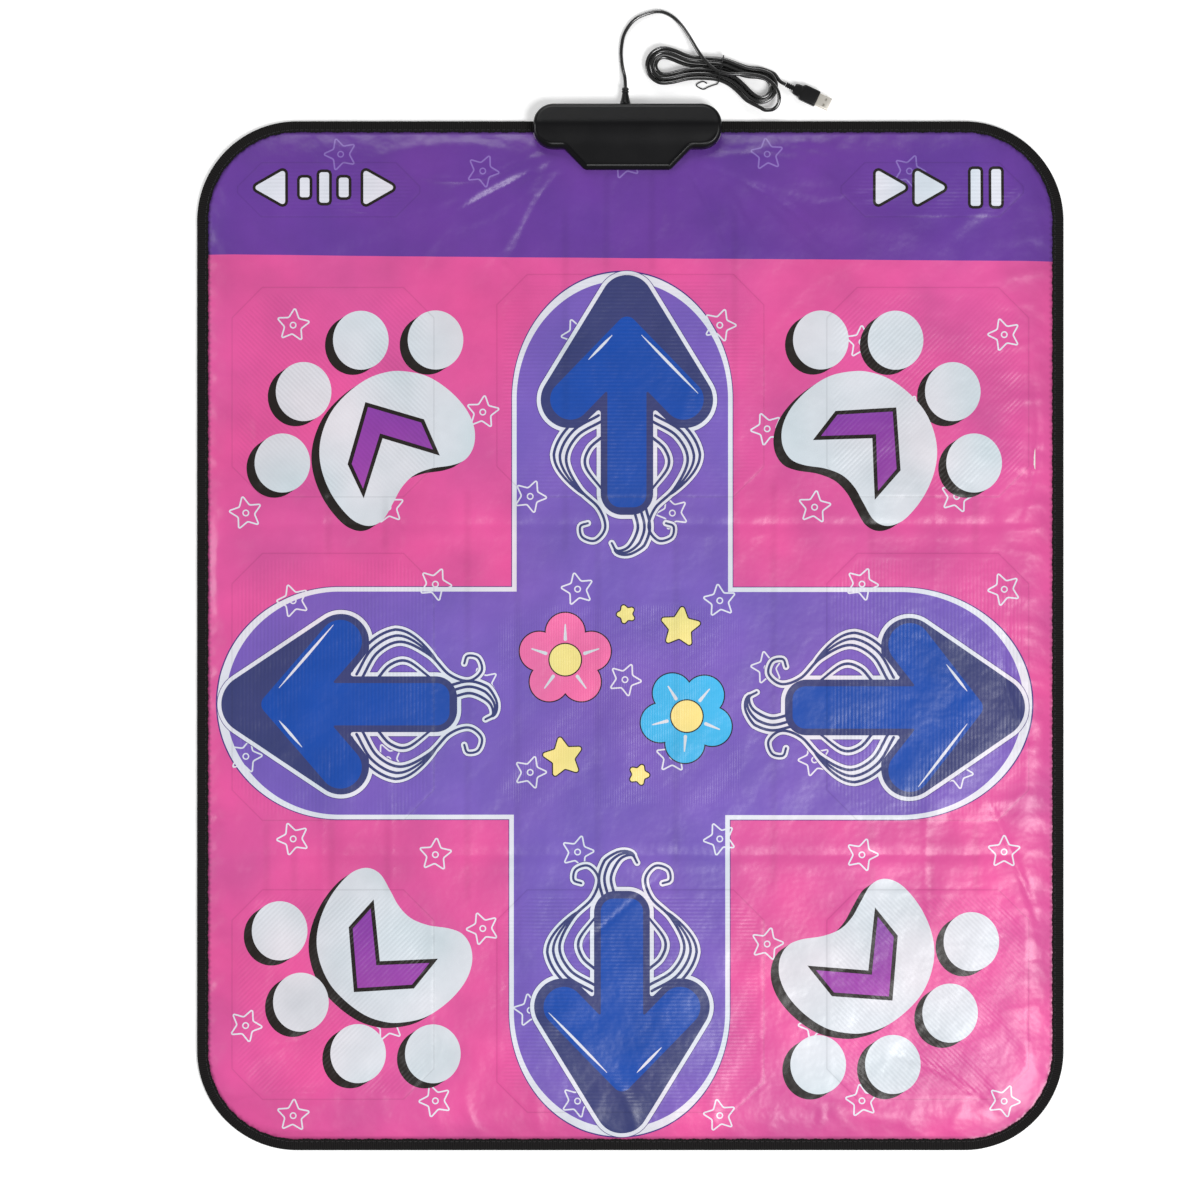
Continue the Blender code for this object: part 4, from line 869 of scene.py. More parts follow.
def in_box(x: Array, y: Array, low: Array, high: Array) -> Array:
    """Return the numbers of the points inside a box."""
    return np.flatnonzero((x > low[0]) & (x < high[0]) & (y > low[1]) & (y < high[1]))


@dataclass(frozen=True)
class Zone:
    """One step zone: an octagonal sensor under the cover."""

    name: str
    body: str
    centre: Point
    half: Point
    chamfer: float
    hatch: Point

    def inside(self, x: Array, y: Array) -> Array:
        """Return how far each point lies inside the octagon, in millimetres."""
        dx = self.half[0] - np.abs(x - self.centre[0])
        dy = self.half[1] - np.abs(y - self.centre[1])
        return np.minimum(np.minimum(dx, dy), (dx + dy - self.chamfer) / math.sqrt(2))

    def outline(self) -> Array:
        """Return the octagon's corners, counter-clockwise."""
        (cx, cy), (hx, hy), cut = self.centre, self.half, self.chamfer
        quarter = np.array([(hx, hy - cut), (hx - cut, hy)])
        loop = np.concatenate([quarter, quarter[::-1] * (-1, 1), quarter * (-1, -1), quarter[::-1] * (1, -1)])
        return loop + (cx, cy)


@dataclass
class MatForm:
    """Sizes and surface of the mat: one smooth sheet height, its ridges and its creases.

    The cover rises from rim height to top over slope millimetres, from rim_inset inwards, and
    nothing on it stands more than most above top. It lies flat in front of the housing, at the
    place that housing_rest gives as middle x, half width, front and fade.
    """

    half_x: float = 400.0
    half_y: float = 475.0
    corner: float = 92.0
    top: float = 8.7
    most: float = 2.1
    lowest: float = 2.9
    rim: float = 3.3
    rim_inset: float = 10.8
    slope: float = 28.0
    pucker: float = 0.30
    sensor_step: float = 0.35
    sensor_ridge: float = 0.10
    sensor_crown: float = 0.50
    upper_fold: float = 102.0
    lower_fold: float = -202.0
    fold_groove: float = 0.7
    fold_lips: float = 0.3
    join_y: float = -50.0
    housing_rest: tuple[float, float, float, float] = (-2.7, 60.0, 434.0, 12.0)
    seed: int = 11
    zones: list[Zone] = field(default_factory=list)
    creases: list[tuple[Array, float, float]] = field(default_factory=list)

    def __post_init__(self) -> None:
        """Place the zones as the model has them, and the creases."""
        flat, up, rise, fall = (1.0, 0.0), (0.0, 1.0), (0.7, 0.7), (0.7, -0.7)
        side, corner, wide, small = (93, 123), (93, 96.5), (123, 102.5), (84, 25)
        for body, rows in (
            ("mat_top", (
                ("up", (0, 230.5), wide, 28, up), ("upper_left", (-274, 224.5), corner, 28, rise),
                ("upper_right", (274, 224.5), corner, 28, fall), ("select", (-278, 411), small, 22, up),
                ("start", (278, 411), small, 22, up),
            )),
            ("mat_middle", (("left", (-274, -47), side, 28, flat), ("right", (274, -47), side, 28, flat))),
            ("mat_bottom", (
                ("down", (0, -336.5), wide, 28, up), ("lower_left", (-274, -330.5), corner, 28, fall),
                ("lower_right", (274, -330.5), corner, 28, rise),
            )),
        ):
            self.zones += [Zone(name, body, *row) for name, *row in rows]
        self.lay_creases()

    def lay_creases(self) -> None:
        """Lay soft creases: out of the housing's corners, in from the edges, and across the corners.

        A crease is x, y, angle, length, height and width; a negative height makes a valley.
        """
        rng = np.random.default_rng(self.seed)

        def crease(x: float, y: float, angle: float, length: float, height: float, width: float) -> None:
            a = math.radians(angle)
            bend = rng.uniform(-0.16, 0.16) * length
            t = np.linspace(0, 1, 9)[:, None]
            line = np.array([x, y]) + t * length * (math.cos(a), math.sin(a))
            line = line + (4 * t * (1 - t)) * bend * np.array([-math.sin(a), math.cos(a)])
            self.creases.append((line, height, width))

        for angle, length, height in (
            (198, 150, 1.0), (212, 120, 0.9), (226, 170, 1.1),
            (241, 110, 0.8), (256, 150, 0.7), (186, 190, 0.8),
        ):
            crease(-78 - rng.uniform(0, 14), 440 - rng.uniform(0, 8), angle, length, height, 5.5)
            crease(72 + rng.uniform(0, 14), 440 - rng.uniform(0, 8), 180 - angle, length, height, 5.5)
        for x in (-40, -12, 22, 48):
            crease(x, 430, 270 + rng.uniform(-16, 16), rng.uniform(50, 110), 0.6, 5.0)
        for row in (
            (66, 436, -4, 120, 1.7, 7.5), (72, 434, -21, 150, 2.0, 9.0), (96, 452, 3, 84, 1.5, 6.0),
            (60, 430, -52, 92, 1.2, 5.0), (-74, 434, 203, 120, 1.3, 8.0), (-84, 446, 172, 120, 1.1, 7.0),
            (150, 372, -8, 150, 1.3, 11.0), (-190, 392, 196, 150, 1.2, 12.0), (-386, -444, -4, 128, 1.9, 7.0),
            (-376, -424, 12, 110, 1.6, 8.0), (-388, -398, 28, 96, 1.5, 8.0), (372, -300, 118, 120, 1.5, 9.0),
            (366, -150, 100, 140, 1.3, 10.0), (352, 60, 82, 150, 1.3, 10.0), (250, -448, 168, 130, 1.3, 8.0),
            (-372, 120, -84, 150, 1.1, 9.0),
        ):
            crease(*row)
        for side, first in ((-1, 0), (1, 180)):
            y = -370.0
            while y < 380:
                length = rng.uniform(26, 80)
                angle, height = first + rng.uniform(-12, 12), rng.uniform(0.35, 0.95)
                crease(side * 388, y, angle, length, height, rng.uniform(4, 7))
                y += rng.uniform(17, 36)
        x = -330.0
        while x < 330:
            angle, length, height = 90 + rng.uniform(-25, 25), rng.uniform(24, 70), rng.uniform(0.3, 0.8)
            crease(x, -462, angle, length, height, rng.uniform(4, 7))
            x += rng.uniform(26, 60)
        for _ in range(26):
            place, angle = rng.uniform((-340, -420), (340, 400)), rng.uniform(0, 360)
            crease(*place, angle, rng.uniform(70, 210), rng.uniform(0.25, 0.6), rng.uniform(6, 11))
        for row in (
            (-385, -400, 62, 110), (-365, -430, 48, 150), (-330, -455, 40, 120), (-388, -330, 20, 130),
            (350, -440, 140, 110), (375, -400, 128, 90), (-380, 420, -40, 120), (372, 425, 215, 110),
        ):
            crease(*row, 1.0, 7.0)
        for x in (-279, -224, 278):
            crease(x, 150, -90, 110, 0.45, 3.0)
            crease(x, -120, -90, 170, 0.45, 3.0)
        crease(-130, 350, -50, 62, 0.6, 3.2)
        crease(-60, -300, 42, 130, -0.6, 3.0)
        for row in (
            (68, 432, -32, 135, -1.3), (90, 446, -9, 125, -0.6), (54, 428, -64, 90, -1.0),
            (-74, 434, 208, 120, -1.2), (-62, 428, 240, 90, -1.0), (-88, 446, 189, 120, -1.1),
            (-384, -437, 5, 125, -1.3), (-380, -408, 21, 105, -1.1), (336, -442, 150, 115, -1.0),
            (374, -262, 112, 120, -1.2), (368, -96, 97, 125, -1.1), (358, 110, 84, 125, -1.1),
            (-366, 250, -80, 110, -0.9), (170, 396, 12, 110, -0.9), (-200, 372, 168, 110, -0.9),
        ):
            crease(*row, 3.6)

    def inset(self, x: Array, y: Array) -> Array:
        """Return how far each point lies inside the mat's rounded outline."""
        dx = np.abs(x) - (self.half_x - self.corner)
        dy = np.abs(y) - (self.half_y - self.corner)
        away = np.hypot(np.maximum(dx, 0), np.maximum(dy, 0)) + np.minimum(np.maximum(dx, dy), 0)
        return self.corner - away

    def height(self, x: Array, y: Array) -> Array:
        """Return the printed side's height in millimetres."""
        inward = self.inset(x, y) - self.rim_inset
        flat = self.rim + (self.top - self.rim) * np.sin(math.pi / 2 * np.clip(inward / self.slope, 0, 1))
        field_share, edge_share = glide((inward - 6) / 34), glide(inward / 9)
        z = flat + self.swell(x, y) * field_share
        pucker = np.sin(y / 3.6 + 1.7 * np.sin(y / 23)) * hump(np.abs(x) - 383, 9)
        pucker += np.sin(x / 4.6 + 1.7 * np.sin(x / 31)) * hump(np.abs(y) - 458, 8)
        z += self.pucker * pucker * edge_share
        for zone in self.zones:
            deep = zone.inside(x, y)
            z += self.sensor_step * glide((deep + 1.5) / 5) + self.sensor_ridge * hump(deep - 2.5, 2.2)
            z += self.sensor_crown * glide(deep / 45)
        for fold in (self.upper_fold, self.lower_fold):
            z -= self.fold_groove * hump(y - fold, 4.0) * field_share
            z += self.fold_lips * hump(np.abs(y - fold) - 10, 5.0) * field_share
        z += self.crease_height(x, y) * edge_share
        over = np.maximum(z - self.top, 0) / self.most
        z = np.maximum(np.minimum(z, self.top) + self.most * np.tanh(over), self.lowest)
        middle, half, front, fade = self.housing_rest
        away = np.hypot(np.maximum(np.abs(x - middle) - half, 0), np.maximum(front - y, 0))
        return flat + (z - flat) * glide(away / fade)

    @staticmethod
    def swell(x: Array, y: Array) -> Array:
        """Return the film's unevenness: broad swells, slanting ones, short ones and faint folds."""
        broad = 0.42 * np.sin(x / 31 + 1.5 * np.sin(y / 47)) * np.sin(y / 43 + 1.2 * np.sin(x / 61))
        slant = 0.34 * np.sin((x + y) / 27 + 1.6 * np.sin((x - y) / 71) + 2)
        short = 0.38 * np.sin(x / 9.5 + 1.9 * np.sin(y / 37) + 1.1) * np.sin(y / 12 + 1.7 * np.sin(x / 33))
        folds = np.abs(np.sin((x + 0.6 * y) / 31 + 1.6 * np.sin(y / 41) + 0.7 * np.sin(x / 19)))
        return broad + slant + short - (0.42 * folds - 0.27)

    def crease_height(self, x: Array, y: Array) -> Array:
        """Return the sum of all creases, each a soft ridge that fades at its ends."""
        z = np.zeros_like(x)
        for line, height, width in self.creases:
            near = in_box(x, y, line.min(0) - 3 * width, line.max(0) + 3 * width)
            away, along = nearest(np.stack([x[near], y[near]], 1), line)
            fade = np.sin(np.pi * np.clip(along * 0.86 + 0.10, 0, 1)) ** 0.8
            z[near] += height * fade * hump(away, width)
        return z

    def normal(self, x: Array, y: Array, step: float = 0.35) -> Array:
        """Return the printed side's unit normals."""
        dx = (self.height(x + step, y) - self.height(x - step, y)) / (2 * step)
        dy = (self.height(x, y + step) - self.height(x, y - step)) / (2 * step)
        normal = np.stack([-dx, -dy, np.ones_like(dx)], 1)
        return normal / np.linalg.norm(normal, axis=1)[:, None]

    def outline(self, inset: float, step_mm: float = 4.0) -> Array:
        """Return the mat's outline drawn in by inset, counter-clockwise."""
        x, y, r = self.half_x - inset, self.half_y - inset, self.corner - inset
        return round_corners([(x, -y, r), (x, y, r), (-x, y, r), (-x, -y, r)], step_mm)

    def join(self) -> Array:
        """Return the line, past both edges, where the upper and the lower sheets meet."""
        return np.array([(-430.0, self.join_y), (430.0, self.join_y)])

    def length(self, upper: bool) -> float:
        """Return how long the upper or the lower sheet is, to the mat's edge."""
        return self.half_y - self.join_y if upper else self.half_y + self.join_y


# Meshes


SNAP_MM = 1e-4
SLIVER_MM2 = 1e-7


def new_mesh(name: str, points: Array, faces: Sequence[Sequence[int]] | Array) -> Mesh:
    """Return a mesh of points in millimetres; faces are index lists, or one array of triangles."""
    mesh = bpy.data.meshes.new(name)
    if isinstance(faces, Array):
        corners = faces.shape[1]
        mesh.vertices.add(len(points))
        mesh.vertices.foreach_set("co", (points * MM).astype(np.float32).ravel())
        mesh.loops.add(faces.size)
        mesh.loops.foreach_set("vertex_index", faces.astype(np.int32).ravel())
        mesh.polygons.add(len(faces))
        mesh.polygons.foreach_set("loop_start", np.arange(0, faces.size, corners, dtype=np.int32))
        mesh.update(calc_edges=True)
    else:
        mesh.from_pydata((np.asarray(points) * MM).tolist(), [], [list(face) for face in faces])
    mesh.validate()
    return mesh


def linked(name: str, data: bpy.types.ID) -> Piece:
    """Return a new object of some data, linked into the scene."""
    thing = bpy.data.objects.new(name, data)
    bpy.context.scene.collection.objects.link(thing)
    return thing


def new_piece(name: str, mesh: Mesh | bpy.types.Curve, finish: Finish) -> Piece:
    """Add a mesh or curve to the scene as a piece with its material."""
    mesh.materials.clear()
    mesh.materials.append(made(finish))
    piece = linked(name, mesh)
    LOG.info("made %s", name)
    return piece


def smooth_shade(mesh: Mesh, angle: float) -> None:
    """Shade a mesh smooth, with edges sharper than an angle in degrees kept."""
    mesh.shade_smooth()
    mesh.set_sharp_from_angle(angle=math.radians(angle))


def closer(loop: Array, step_mm: float) -> Array:
    """Return a closed outline with its long sides split, so that it follows the creases."""
    out = []
    for a, b in zip(loop, np.roll(loop, -1, 0)):
        parts = max(1, math.ceil(np.linalg.norm(b - a) / step_mm))
        out.append(a + (b - a) * (np.arange(parts)[:, None] / parts))
    return np.concatenate(out)


def cut_plan(
    points: Array, loops: Sequence[Array], lines: Sequence[Array], step_mm: float,
) -> tuple[Array, Array]:
    """Join points into triangles that part along every outline and line.

    Args:
        points: loose points in the plane.
        loops: closed outlines.
        lines: open lines.
        step_mm: the longest edge along an outline.

    Returns:
        The points and the counter-clockwise triangles.
    """
    every, edges, count = [points], [], len(points)
    for loop, closed in [(loop, True) for loop in loops] + [(line, False) for line in lines]:
        fine = closer(loop, step_mm)
        if not closed:
            fine = fine[:np.argmin(np.linalg.norm(fine - loop[-1], axis=1)) + 1]
        edges += [(count + i, count + i + 1) for i in range(len(fine) - 1)]
        if closed:
            edges.append((count + len(fine) - 1, count))
        every.append(fine)
        count += len(fine)
    flat = [Vector(point) for point in np.concatenate(every)]
    found, _, faces, *_ = delaunay_2d_cdt(flat, edges, [], 0, SNAP_MM, False)
    found, faces = np.array([tuple(point) for point in found]), np.array(faces, int)
    first, second = found[faces[:, 1]] - found[faces[:, 0]], found[faces[:, 2]] - found[faces[:, 0]]
    area = first[:, 0] * second[:, 1] - first[:, 1] * second[:, 0]
    faces[area < 0] = faces[area < 0][:, ::-1]
    return found, faces[np.abs(area) > SLIVER_MM2]


def cut_out(
    name: str, points: Array, z: Array, faces: Array,
) -> tuple[Mesh, Array]:
    """Return a mesh of some of a plan's triangles at their height, and the points that it uses."""
    used, packed = np.unique(faces, return_inverse=True)
    return new_mesh(name, np.column_stack([points[used], z[used]]), packed.reshape(-1, 3)), used


def ring_faces(rings: int, count: int) -> list[tuple[int, ...]]:
    """Return the faces between rings of count points each, in order."""
    faces = []
    for a in range(0, (rings - 1) * count, count):
        for side in range(count):
            after = (side + 1) % count
            faces.append((a + side, a + after, a + count + after, a + count + side))
    return faces


def lattice(half_x: float, rows: Array, step_mm: float) -> Array:
    """Return a lattice of points whose rows step sideways by half a step."""
    out = []
    for index, y in enumerate(rows):
        xs = np.arange(-half_x + (index % 2) * step_mm / 2, half_x, step_mm)
        out.append(np.stack([xs, np.full_like(xs, y)], 1))
    return np.concatenate(out)


@dataclass
class HousingOutline:
    """Outline sizes of the control housing, as the model has them, and the gap round it."""

    middle_x: float = -2.7
    half: float = 86.5
    front: float = 448.5
    back: float = 490.0
    end_radius: float = 18.5
    gap: float = 0.3

    def notch(self) -> Array:
        """Return the outline of the sheets' cut-out: the rounded bar with its gap."""
        half, radius = self.half + self.gap, self.end_radius + self.gap
        front, back, x = self.front - self.gap, self.back + self.gap, self.middle_x
        corners = ((x + half, front), (x + half, back), (x - half, back), (x - half, front))
        return round_corners([(*corner, radius) for corner in corners])


@dataclass
class Cover:
    """The printed cover: one sheet, parted between the folds and round the zones.

    The leads are dark strips of the sensor that show through, by their lowest and highest y.
    """

    form: MatForm
    art: Artwork
    lattice_mm: float = 3.2
    edge_inset: float = 2.5
    lead_half: float = 4.5
    lead_fade: float = 14.0
    lead_shade: float = 0.075
    # The cover darkens beside the binding tape in a painted contact shadow.
    tape_shadow_reach: float = 2.2
    tape_painted_shadow: float = 0.5
    middle_hatch: Point = (1.5, 0.0)
    leads: tuple[tuple[float, ...], ...] = (
        (-245, -165, -335, -310, -275, -224, 222, 277, 318), (-245, 135, -30, 42), (70, 400, -60),
        (70, 135, -278, -226, 222, 318), (60, 400, 96), (-300, 135, -104), (-250, 140, -150),
        (-240, 150, 132), (330, 440, 20, -22),
    )
    flat_area: dict[str, float] = field(default_factory=dict)

    def plan(self) -> tuple[Array, Array]:
        """Return the sheet's points and triangles in the plane, cut along every printed outline."""
        form, step = self.form, self.lattice_mm
        points = lattice(form.half_x, np.arange(-form.half_y, form.half_y, step * math.sqrt(3) / 2), step)
        points = points[form.inset(*points.T) > self.edge_inset + 1]
        loops = [form.outline(self.edge_inset, 3.0), HousingOutline().notch()]
        loops += [zone.outline() for zone in form.zones]
        loops += [loop for shape in self.art.shapes for loop in shape.loops]
        return cut_plan(points, loops, [form.join()], step * 1.1)

    def build(self) -> dict[str, Piece]:
        """Build the pieces.

        Returns:
            Each piece by its name: cover_sheet_upper, cover_sheet_lower and one patch per zone.
        """
        form = self.form
        points, faces = self.plan()
        middle = points[faces].mean(1)
        keep = form.inset(*middle.T) > self.edge_inset - 0.2
        keep &= ~covered_by([HousingOutline().notch()], middle)
        faces, middle = faces[keep], middle[keep]
        x, y = middle.T
        ink = self.inks(points, faces, middle)
        part = np.where(y > form.join_y, 0, 1)
        names = ["cover_sheet_upper", "cover_sheet_lower"]
        for zone in form.zones:
            part[zone.inside(x, y) > 0] = len(names)
            names.append(f"{zone.name}_patch")
        height = form.height(*points.T)
        normals = form.normal(*points.T)
        hatch = self.hatch(points)
        pieces = {}
        for index, name in enumerate(names):
            chosen = part == index
            mesh, used = cut_out(name, points, height, faces[chosen])
            colour = mesh.color_attributes.new("print_ink", "FLOAT_COLOR", "CORNER")
            colour.data.foreach_set("color", ink[chosen].astype(np.float32).ravel())
            line = mesh.attributes.new("sensor_hatch", "FLOAT_VECTOR", "POINT")
            line.data.foreach_set("vector", hatch[used].astype(np.float32).ravel())
            mesh.shade_smooth()
            mesh.normals_split_custom_set_from_vertices(normals[used].tolist())
            pieces[name] = new_piece(name, mesh, SATIN)
            side, other = (points[faces[chosen, corner]] - points[faces[chosen, 0]] for corner in (1, 2))
            self.flat_area[name] = float(np.cross(side, other).sum() / 2 * MM**2)
        LOG.info("cover: %d points, %d triangles", len(points), len(faces))
        return pieces

    def inks(self, points: Array, faces: Array, middle: Array) -> Array:
        """Return the linear colour of each triangle's corners, the topmost shape's where they lie."""
        ink = np.tile(np.array(linear(Ink.FIELD.value)), (len(faces), 3, 1))
        for shape in self.art.shapes:
            near = in_box(*middle.T, *shape.box())
            covered = near[covered_by(shape.loops, middle[near])]
            for corner in range(3):
                ink[covered, corner] = shape.colours(points[faces[covered, corner]])
        # Darken over the leads that show through, and paint the tape's contact shadow beside it.
        ink[..., :3] *= self.shade(points[faces])[..., None]
        return ink

    def hatch(self, points: Array) -> Array:
        """Return each point's place across the hatched ridges, their strength, and its way inwards."""
        x, y = points.T
        out = np.zeros((len(points), 3))
        out[:, 2] = -1.0
        middle = Zone("middle", "mat_middle", (-10, -64), (118, 98), 20, self.middle_hatch)
        patchy = 0.5 + 0.5 * np.sin(x / 31 + 1.7 * np.sin(y / 43)) * np.sin(y / 37 + 1.4 * np.sin(x / 29))
        for zone in (*self.form.zones, middle):
            deep = zone.inside(x, y)
            strength = glide((deep - 3) / 6) * (0.25 + 0.75 * glide(patchy * 1.3 - 0.1))
            inside = deep > 0
            out[inside, 0] = (x[inside] * zone.hatch[0] + y[inside] * zone.hatch[1]) * MM
            out[inside, 1] = strength[inside]
            if zone is not middle:
                out[:, 2] = np.maximum(out[:, 2], deep * MM)
        return out

    def shade(self, points: Array) -> Array:
        """Return how much of its colour the cover keeps: less over the sensor's dark leads, which show
        through, and in a painted contact shadow beside the tape.
        """
        x, y = points[..., 0], points[..., 1]
        lead = np.zeros_like(x)
        for low, high, *places in self.leads:
            run = glide((y - low) / self.lead_fade) * glide((high - y) / self.lead_fade)
            for place in places:
                lead = np.maximum(lead, run * glide((self.lead_half - np.abs(x - place)) / 3))
        inward = self.form.inset(x, y) - self.form.rim_inset
        # The second factor is a painted contact shadow along the binding tape.
        return (1 - self.lead_shade * lead) * (1 - self.tape_painted_shadow * glide(1 - inward / self.tape_shadow_reach))

    def attach(self, pieces: dict[str, Piece], hems: dict[str, list[Piece]]) -> None:
        """Args:
            pieces: the cover's pieces by name.
            hems: the tape and stitches on the upper and the lower sheet.
        """
        form = self.form
        for part, nodes, under in (
            ("upper", ("cover_top",), ("spacer_foam_top", "spacer_foam_middle")),
            ("lower", ("cover_middle", "cover_bottom"), ("spacer_foam_middle", "spacer_foam_bottom")),
        ):
            sheet = pieces[f"cover_sheet_{part}"]
            length = form.length(part == "upper")
            bend_between(sheet, form, part == "upper")
            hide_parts(*nodes)
            self.declare(sheet, under, hems[part])
        for zone in form.zones:
            patch = pieces[f"{zone.name}_patch"]
            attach(patch, zone.body)
            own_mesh(patch)
            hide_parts(f"{zone.name}_zone")
            self.declare(patch, (f"{zone.name}_contact_film",), [])

    def declare(self, piece: Piece, under: Sequence[str], hems: list[Piece]) -> None:
        """Make lists of the nodes that a piece of the cover lies on and of its hems, and use them no further.
        """
        list(under)
        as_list(hems)


def repeated(name: str, points: Array, headings: Array, half_size_mm: Triple, finish: Finish) -> Piece:
    """Set a small rounded form at every point with Geometry Nodes and return it as a plain mesh.

    Args:
        name: the piece's name.
        points: the places in millimetres.
        headings: the direction of each form's length.
        half_size_mm: half its length, width and height.
        finish: its finish.
    """
    holder = linked(f"{name}_points", new_mesh(f"{name}_points", points, []))
    heading = holder.data.attributes.new("heading", "FLOAT_VECTOR", "POINT")
    heading.data.foreach_set("vector", headings.astype(np.float32).ravel())
    tree = bpy.data.node_groups.new(f"{name}_repeat", "GeometryNodeTree")
    tree.interface.new_socket("Points", in_out="INPUT", socket_type="NodeSocketGeometry")
    size = tree.interface.new_socket("Half size", in_out="INPUT", socket_type="NodeSocketVector")
    tree.interface.new_socket("Forms", in_out="OUTPUT", socket_type="NodeSocketGeometry")
    start = add_node(tree, "NodeGroupInput")
    ball = add_node(tree, "GeometryNodeMeshUVSphere", {"Segments": 8, "Rings": 4, "Radius": 1.0})
    named = add_node(tree, "GeometryNodeInputNamedAttribute", {"Name": "heading"}, data_type="FLOAT_VECTOR")
    turn = add_node(tree, "FunctionNodeAlignRotationToVector", {"Vector": named.outputs[0]}, axis="X")
    placed = add_node(tree, "GeometryNodeInstanceOnPoints", {
        "Points": start.outputs["Points"], "Instance": ball.outputs["Mesh"],
        "Rotation": turn.outputs["Rotation"], "Scale": start.outputs["Half size"],
    })
    real = add_node(tree, "GeometryNodeRealizeInstances", {"Geometry": placed.outputs["Instances"]})
    dressed = add_node(
        tree, "GeometryNodeSetMaterial", {"Geometry": real.outputs["Geometry"], "Material": made(finish)}
    )
    add_node(tree, "NodeGroupOutput", {"Forms": dressed.outputs["Geometry"]})
    step = holder.modifiers.new("repeat", "NODES")
    step.node_group = tree
    step[size.identifier] = tuple(value * MM for value in half_size_mm)
    depsgraph = bpy.context.evaluated_depsgraph_get()
    mesh = bpy.data.meshes.new_from_object(holder.evaluated_get(depsgraph))
    bpy.data.objects.remove(holder)
    mesh.name = name
    for layer in [a for a in mesh.attributes if a.name == "heading"]:
        mesh.attributes.remove(layer)
    mesh.shade_smooth()
    return new_piece(name, mesh, finish)


def bend_between(piece: Piece, form: MatForm, upper: bool) -> None:
    """Blend a soft piece over the upper or the lower fold.

    The body that swings is named first: at the half turn of a closed fold the piece then
    bends round the outside of the hinge.
    """
    line, reach = (form.upper_fold * MM, 0.013) if upper else (form.lower_fold * MM, 0.0087)
    bodies = ("mat_middle", "mat_top") if upper else ("mat_bottom", "mat_middle")
    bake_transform(piece, *bodies, start=(0, line - reach, 0), end=(0, line + reach, 0))


@dataclass
class BaseCloth:
    """The non-slip cloth under the mat, with its printed dots.

    It lies floor_gap over the floor and rises to rim_z outside flat_inset. Its triangles are cut
    along outlines drawn in by the rings, and no dots lie within the bare distances of the folds.
    """

    form: MatForm
    floor_gap: float = 0.25
    rim_z: float = 1.2
    flat_inset: float = 15.5
    rise_run: float = 4.5
    rings: tuple[float, ...] = (2.5, 7.0, 11.0, 13.0, 15.5, 18.0)
    edge_step: float = 2.0
    dot_pitch: float = 11.0
    dot_inset: float = 20.0
    dot: Triple = (1.9, 1.9, 0.3)
    bare: Point = (14.0, 9.7)

    def height(self, points: Array) -> Array:
        """Return the cloth's height: flat on its dots, its edge lifted over the binding."""
        inset = self.form.inset(*points.T)
        rise = glide((self.flat_inset - inset) / self.rise_run)
        return self.floor_gap + (self.rim_z - self.floor_gap) * rise

    def build(self) -> None:
        """Build the cloth's two pieces and their dots."""
        form, step = self.form, self.edge_step
        rows = [np.arange(-form.half_y, form.half_y, 8.0)]
        rows += [np.arange(fold - 16, fold + 16.5, step) for fold in (form.upper_fold, form.lower_fold)]
        points = lattice(form.half_x, np.unique(np.concatenate(rows)), 9.0)
        points = points[form.inset(*points.T) > self.rings[-1] + 1.5]
        notch = HousingOutline().notch()
        loops = [form.outline(inset, step) for inset in self.rings] + [notch]
        points, faces = cut_plan(points, loops, [form.join()], step)
        middle = points[faces].mean(1)
        keep = form.inset(*middle.T) > self.rings[0] - 0.1
        keep &= ~covered_by([notch], middle)
        faces, middle = faces[keep][:, ::-1], middle[keep]
        z = self.height(points)
        for part, nodes in (("upper", ("base_top",)), ("lower", ("base_middle", "base_bottom"))):
            upper = part == "upper"
            chosen = (middle[:, 1] > form.join_y) == upper
            mesh, _ = cut_out(f"base_sheet_{part}", points, z, faces[chosen])
            mesh.shade_smooth()
            piece = new_piece(f"base_sheet_{part}", mesh, BASE_CLOTH)
            bend_between(piece, form, upper)
            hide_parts(*nodes)
            length = form.length(upper)
            dots = self.dots(part, notch)

    def dots(self, part: str, notch: Array) -> Piece:
        """Print the grip dots on one piece's underside, but not where it folds, and return them."""
        form, upper = self.form, part == "upper"
        rows = np.arange(-form.half_y, form.half_y, self.dot_pitch * math.sqrt(3) / 2)
        places = lattice(form.half_x, rows, self.dot_pitch)
        y = places[:, 1]
        inside = (form.inset(places[:, 0], y) > self.dot_inset) & ((y > form.join_y) == upper)
        for fold, bare in zip((form.upper_fold, form.lower_fold), self.bare):
            inside &= abs(y - fold) > bare
        inside &= ~covered_by([grow(notch, 4.0)], places)
        places = places[inside]
        points = np.column_stack([places, np.full(len(places), self.dot[2])])
        headings = np.tile((1.0, 0.0, 0.0), (len(points), 1))
        piece = repeated(f"grip_dots_{part}", points, headings, self.dot, GRIP_DOT)
        bend_between(piece, form, upper)
        return piece


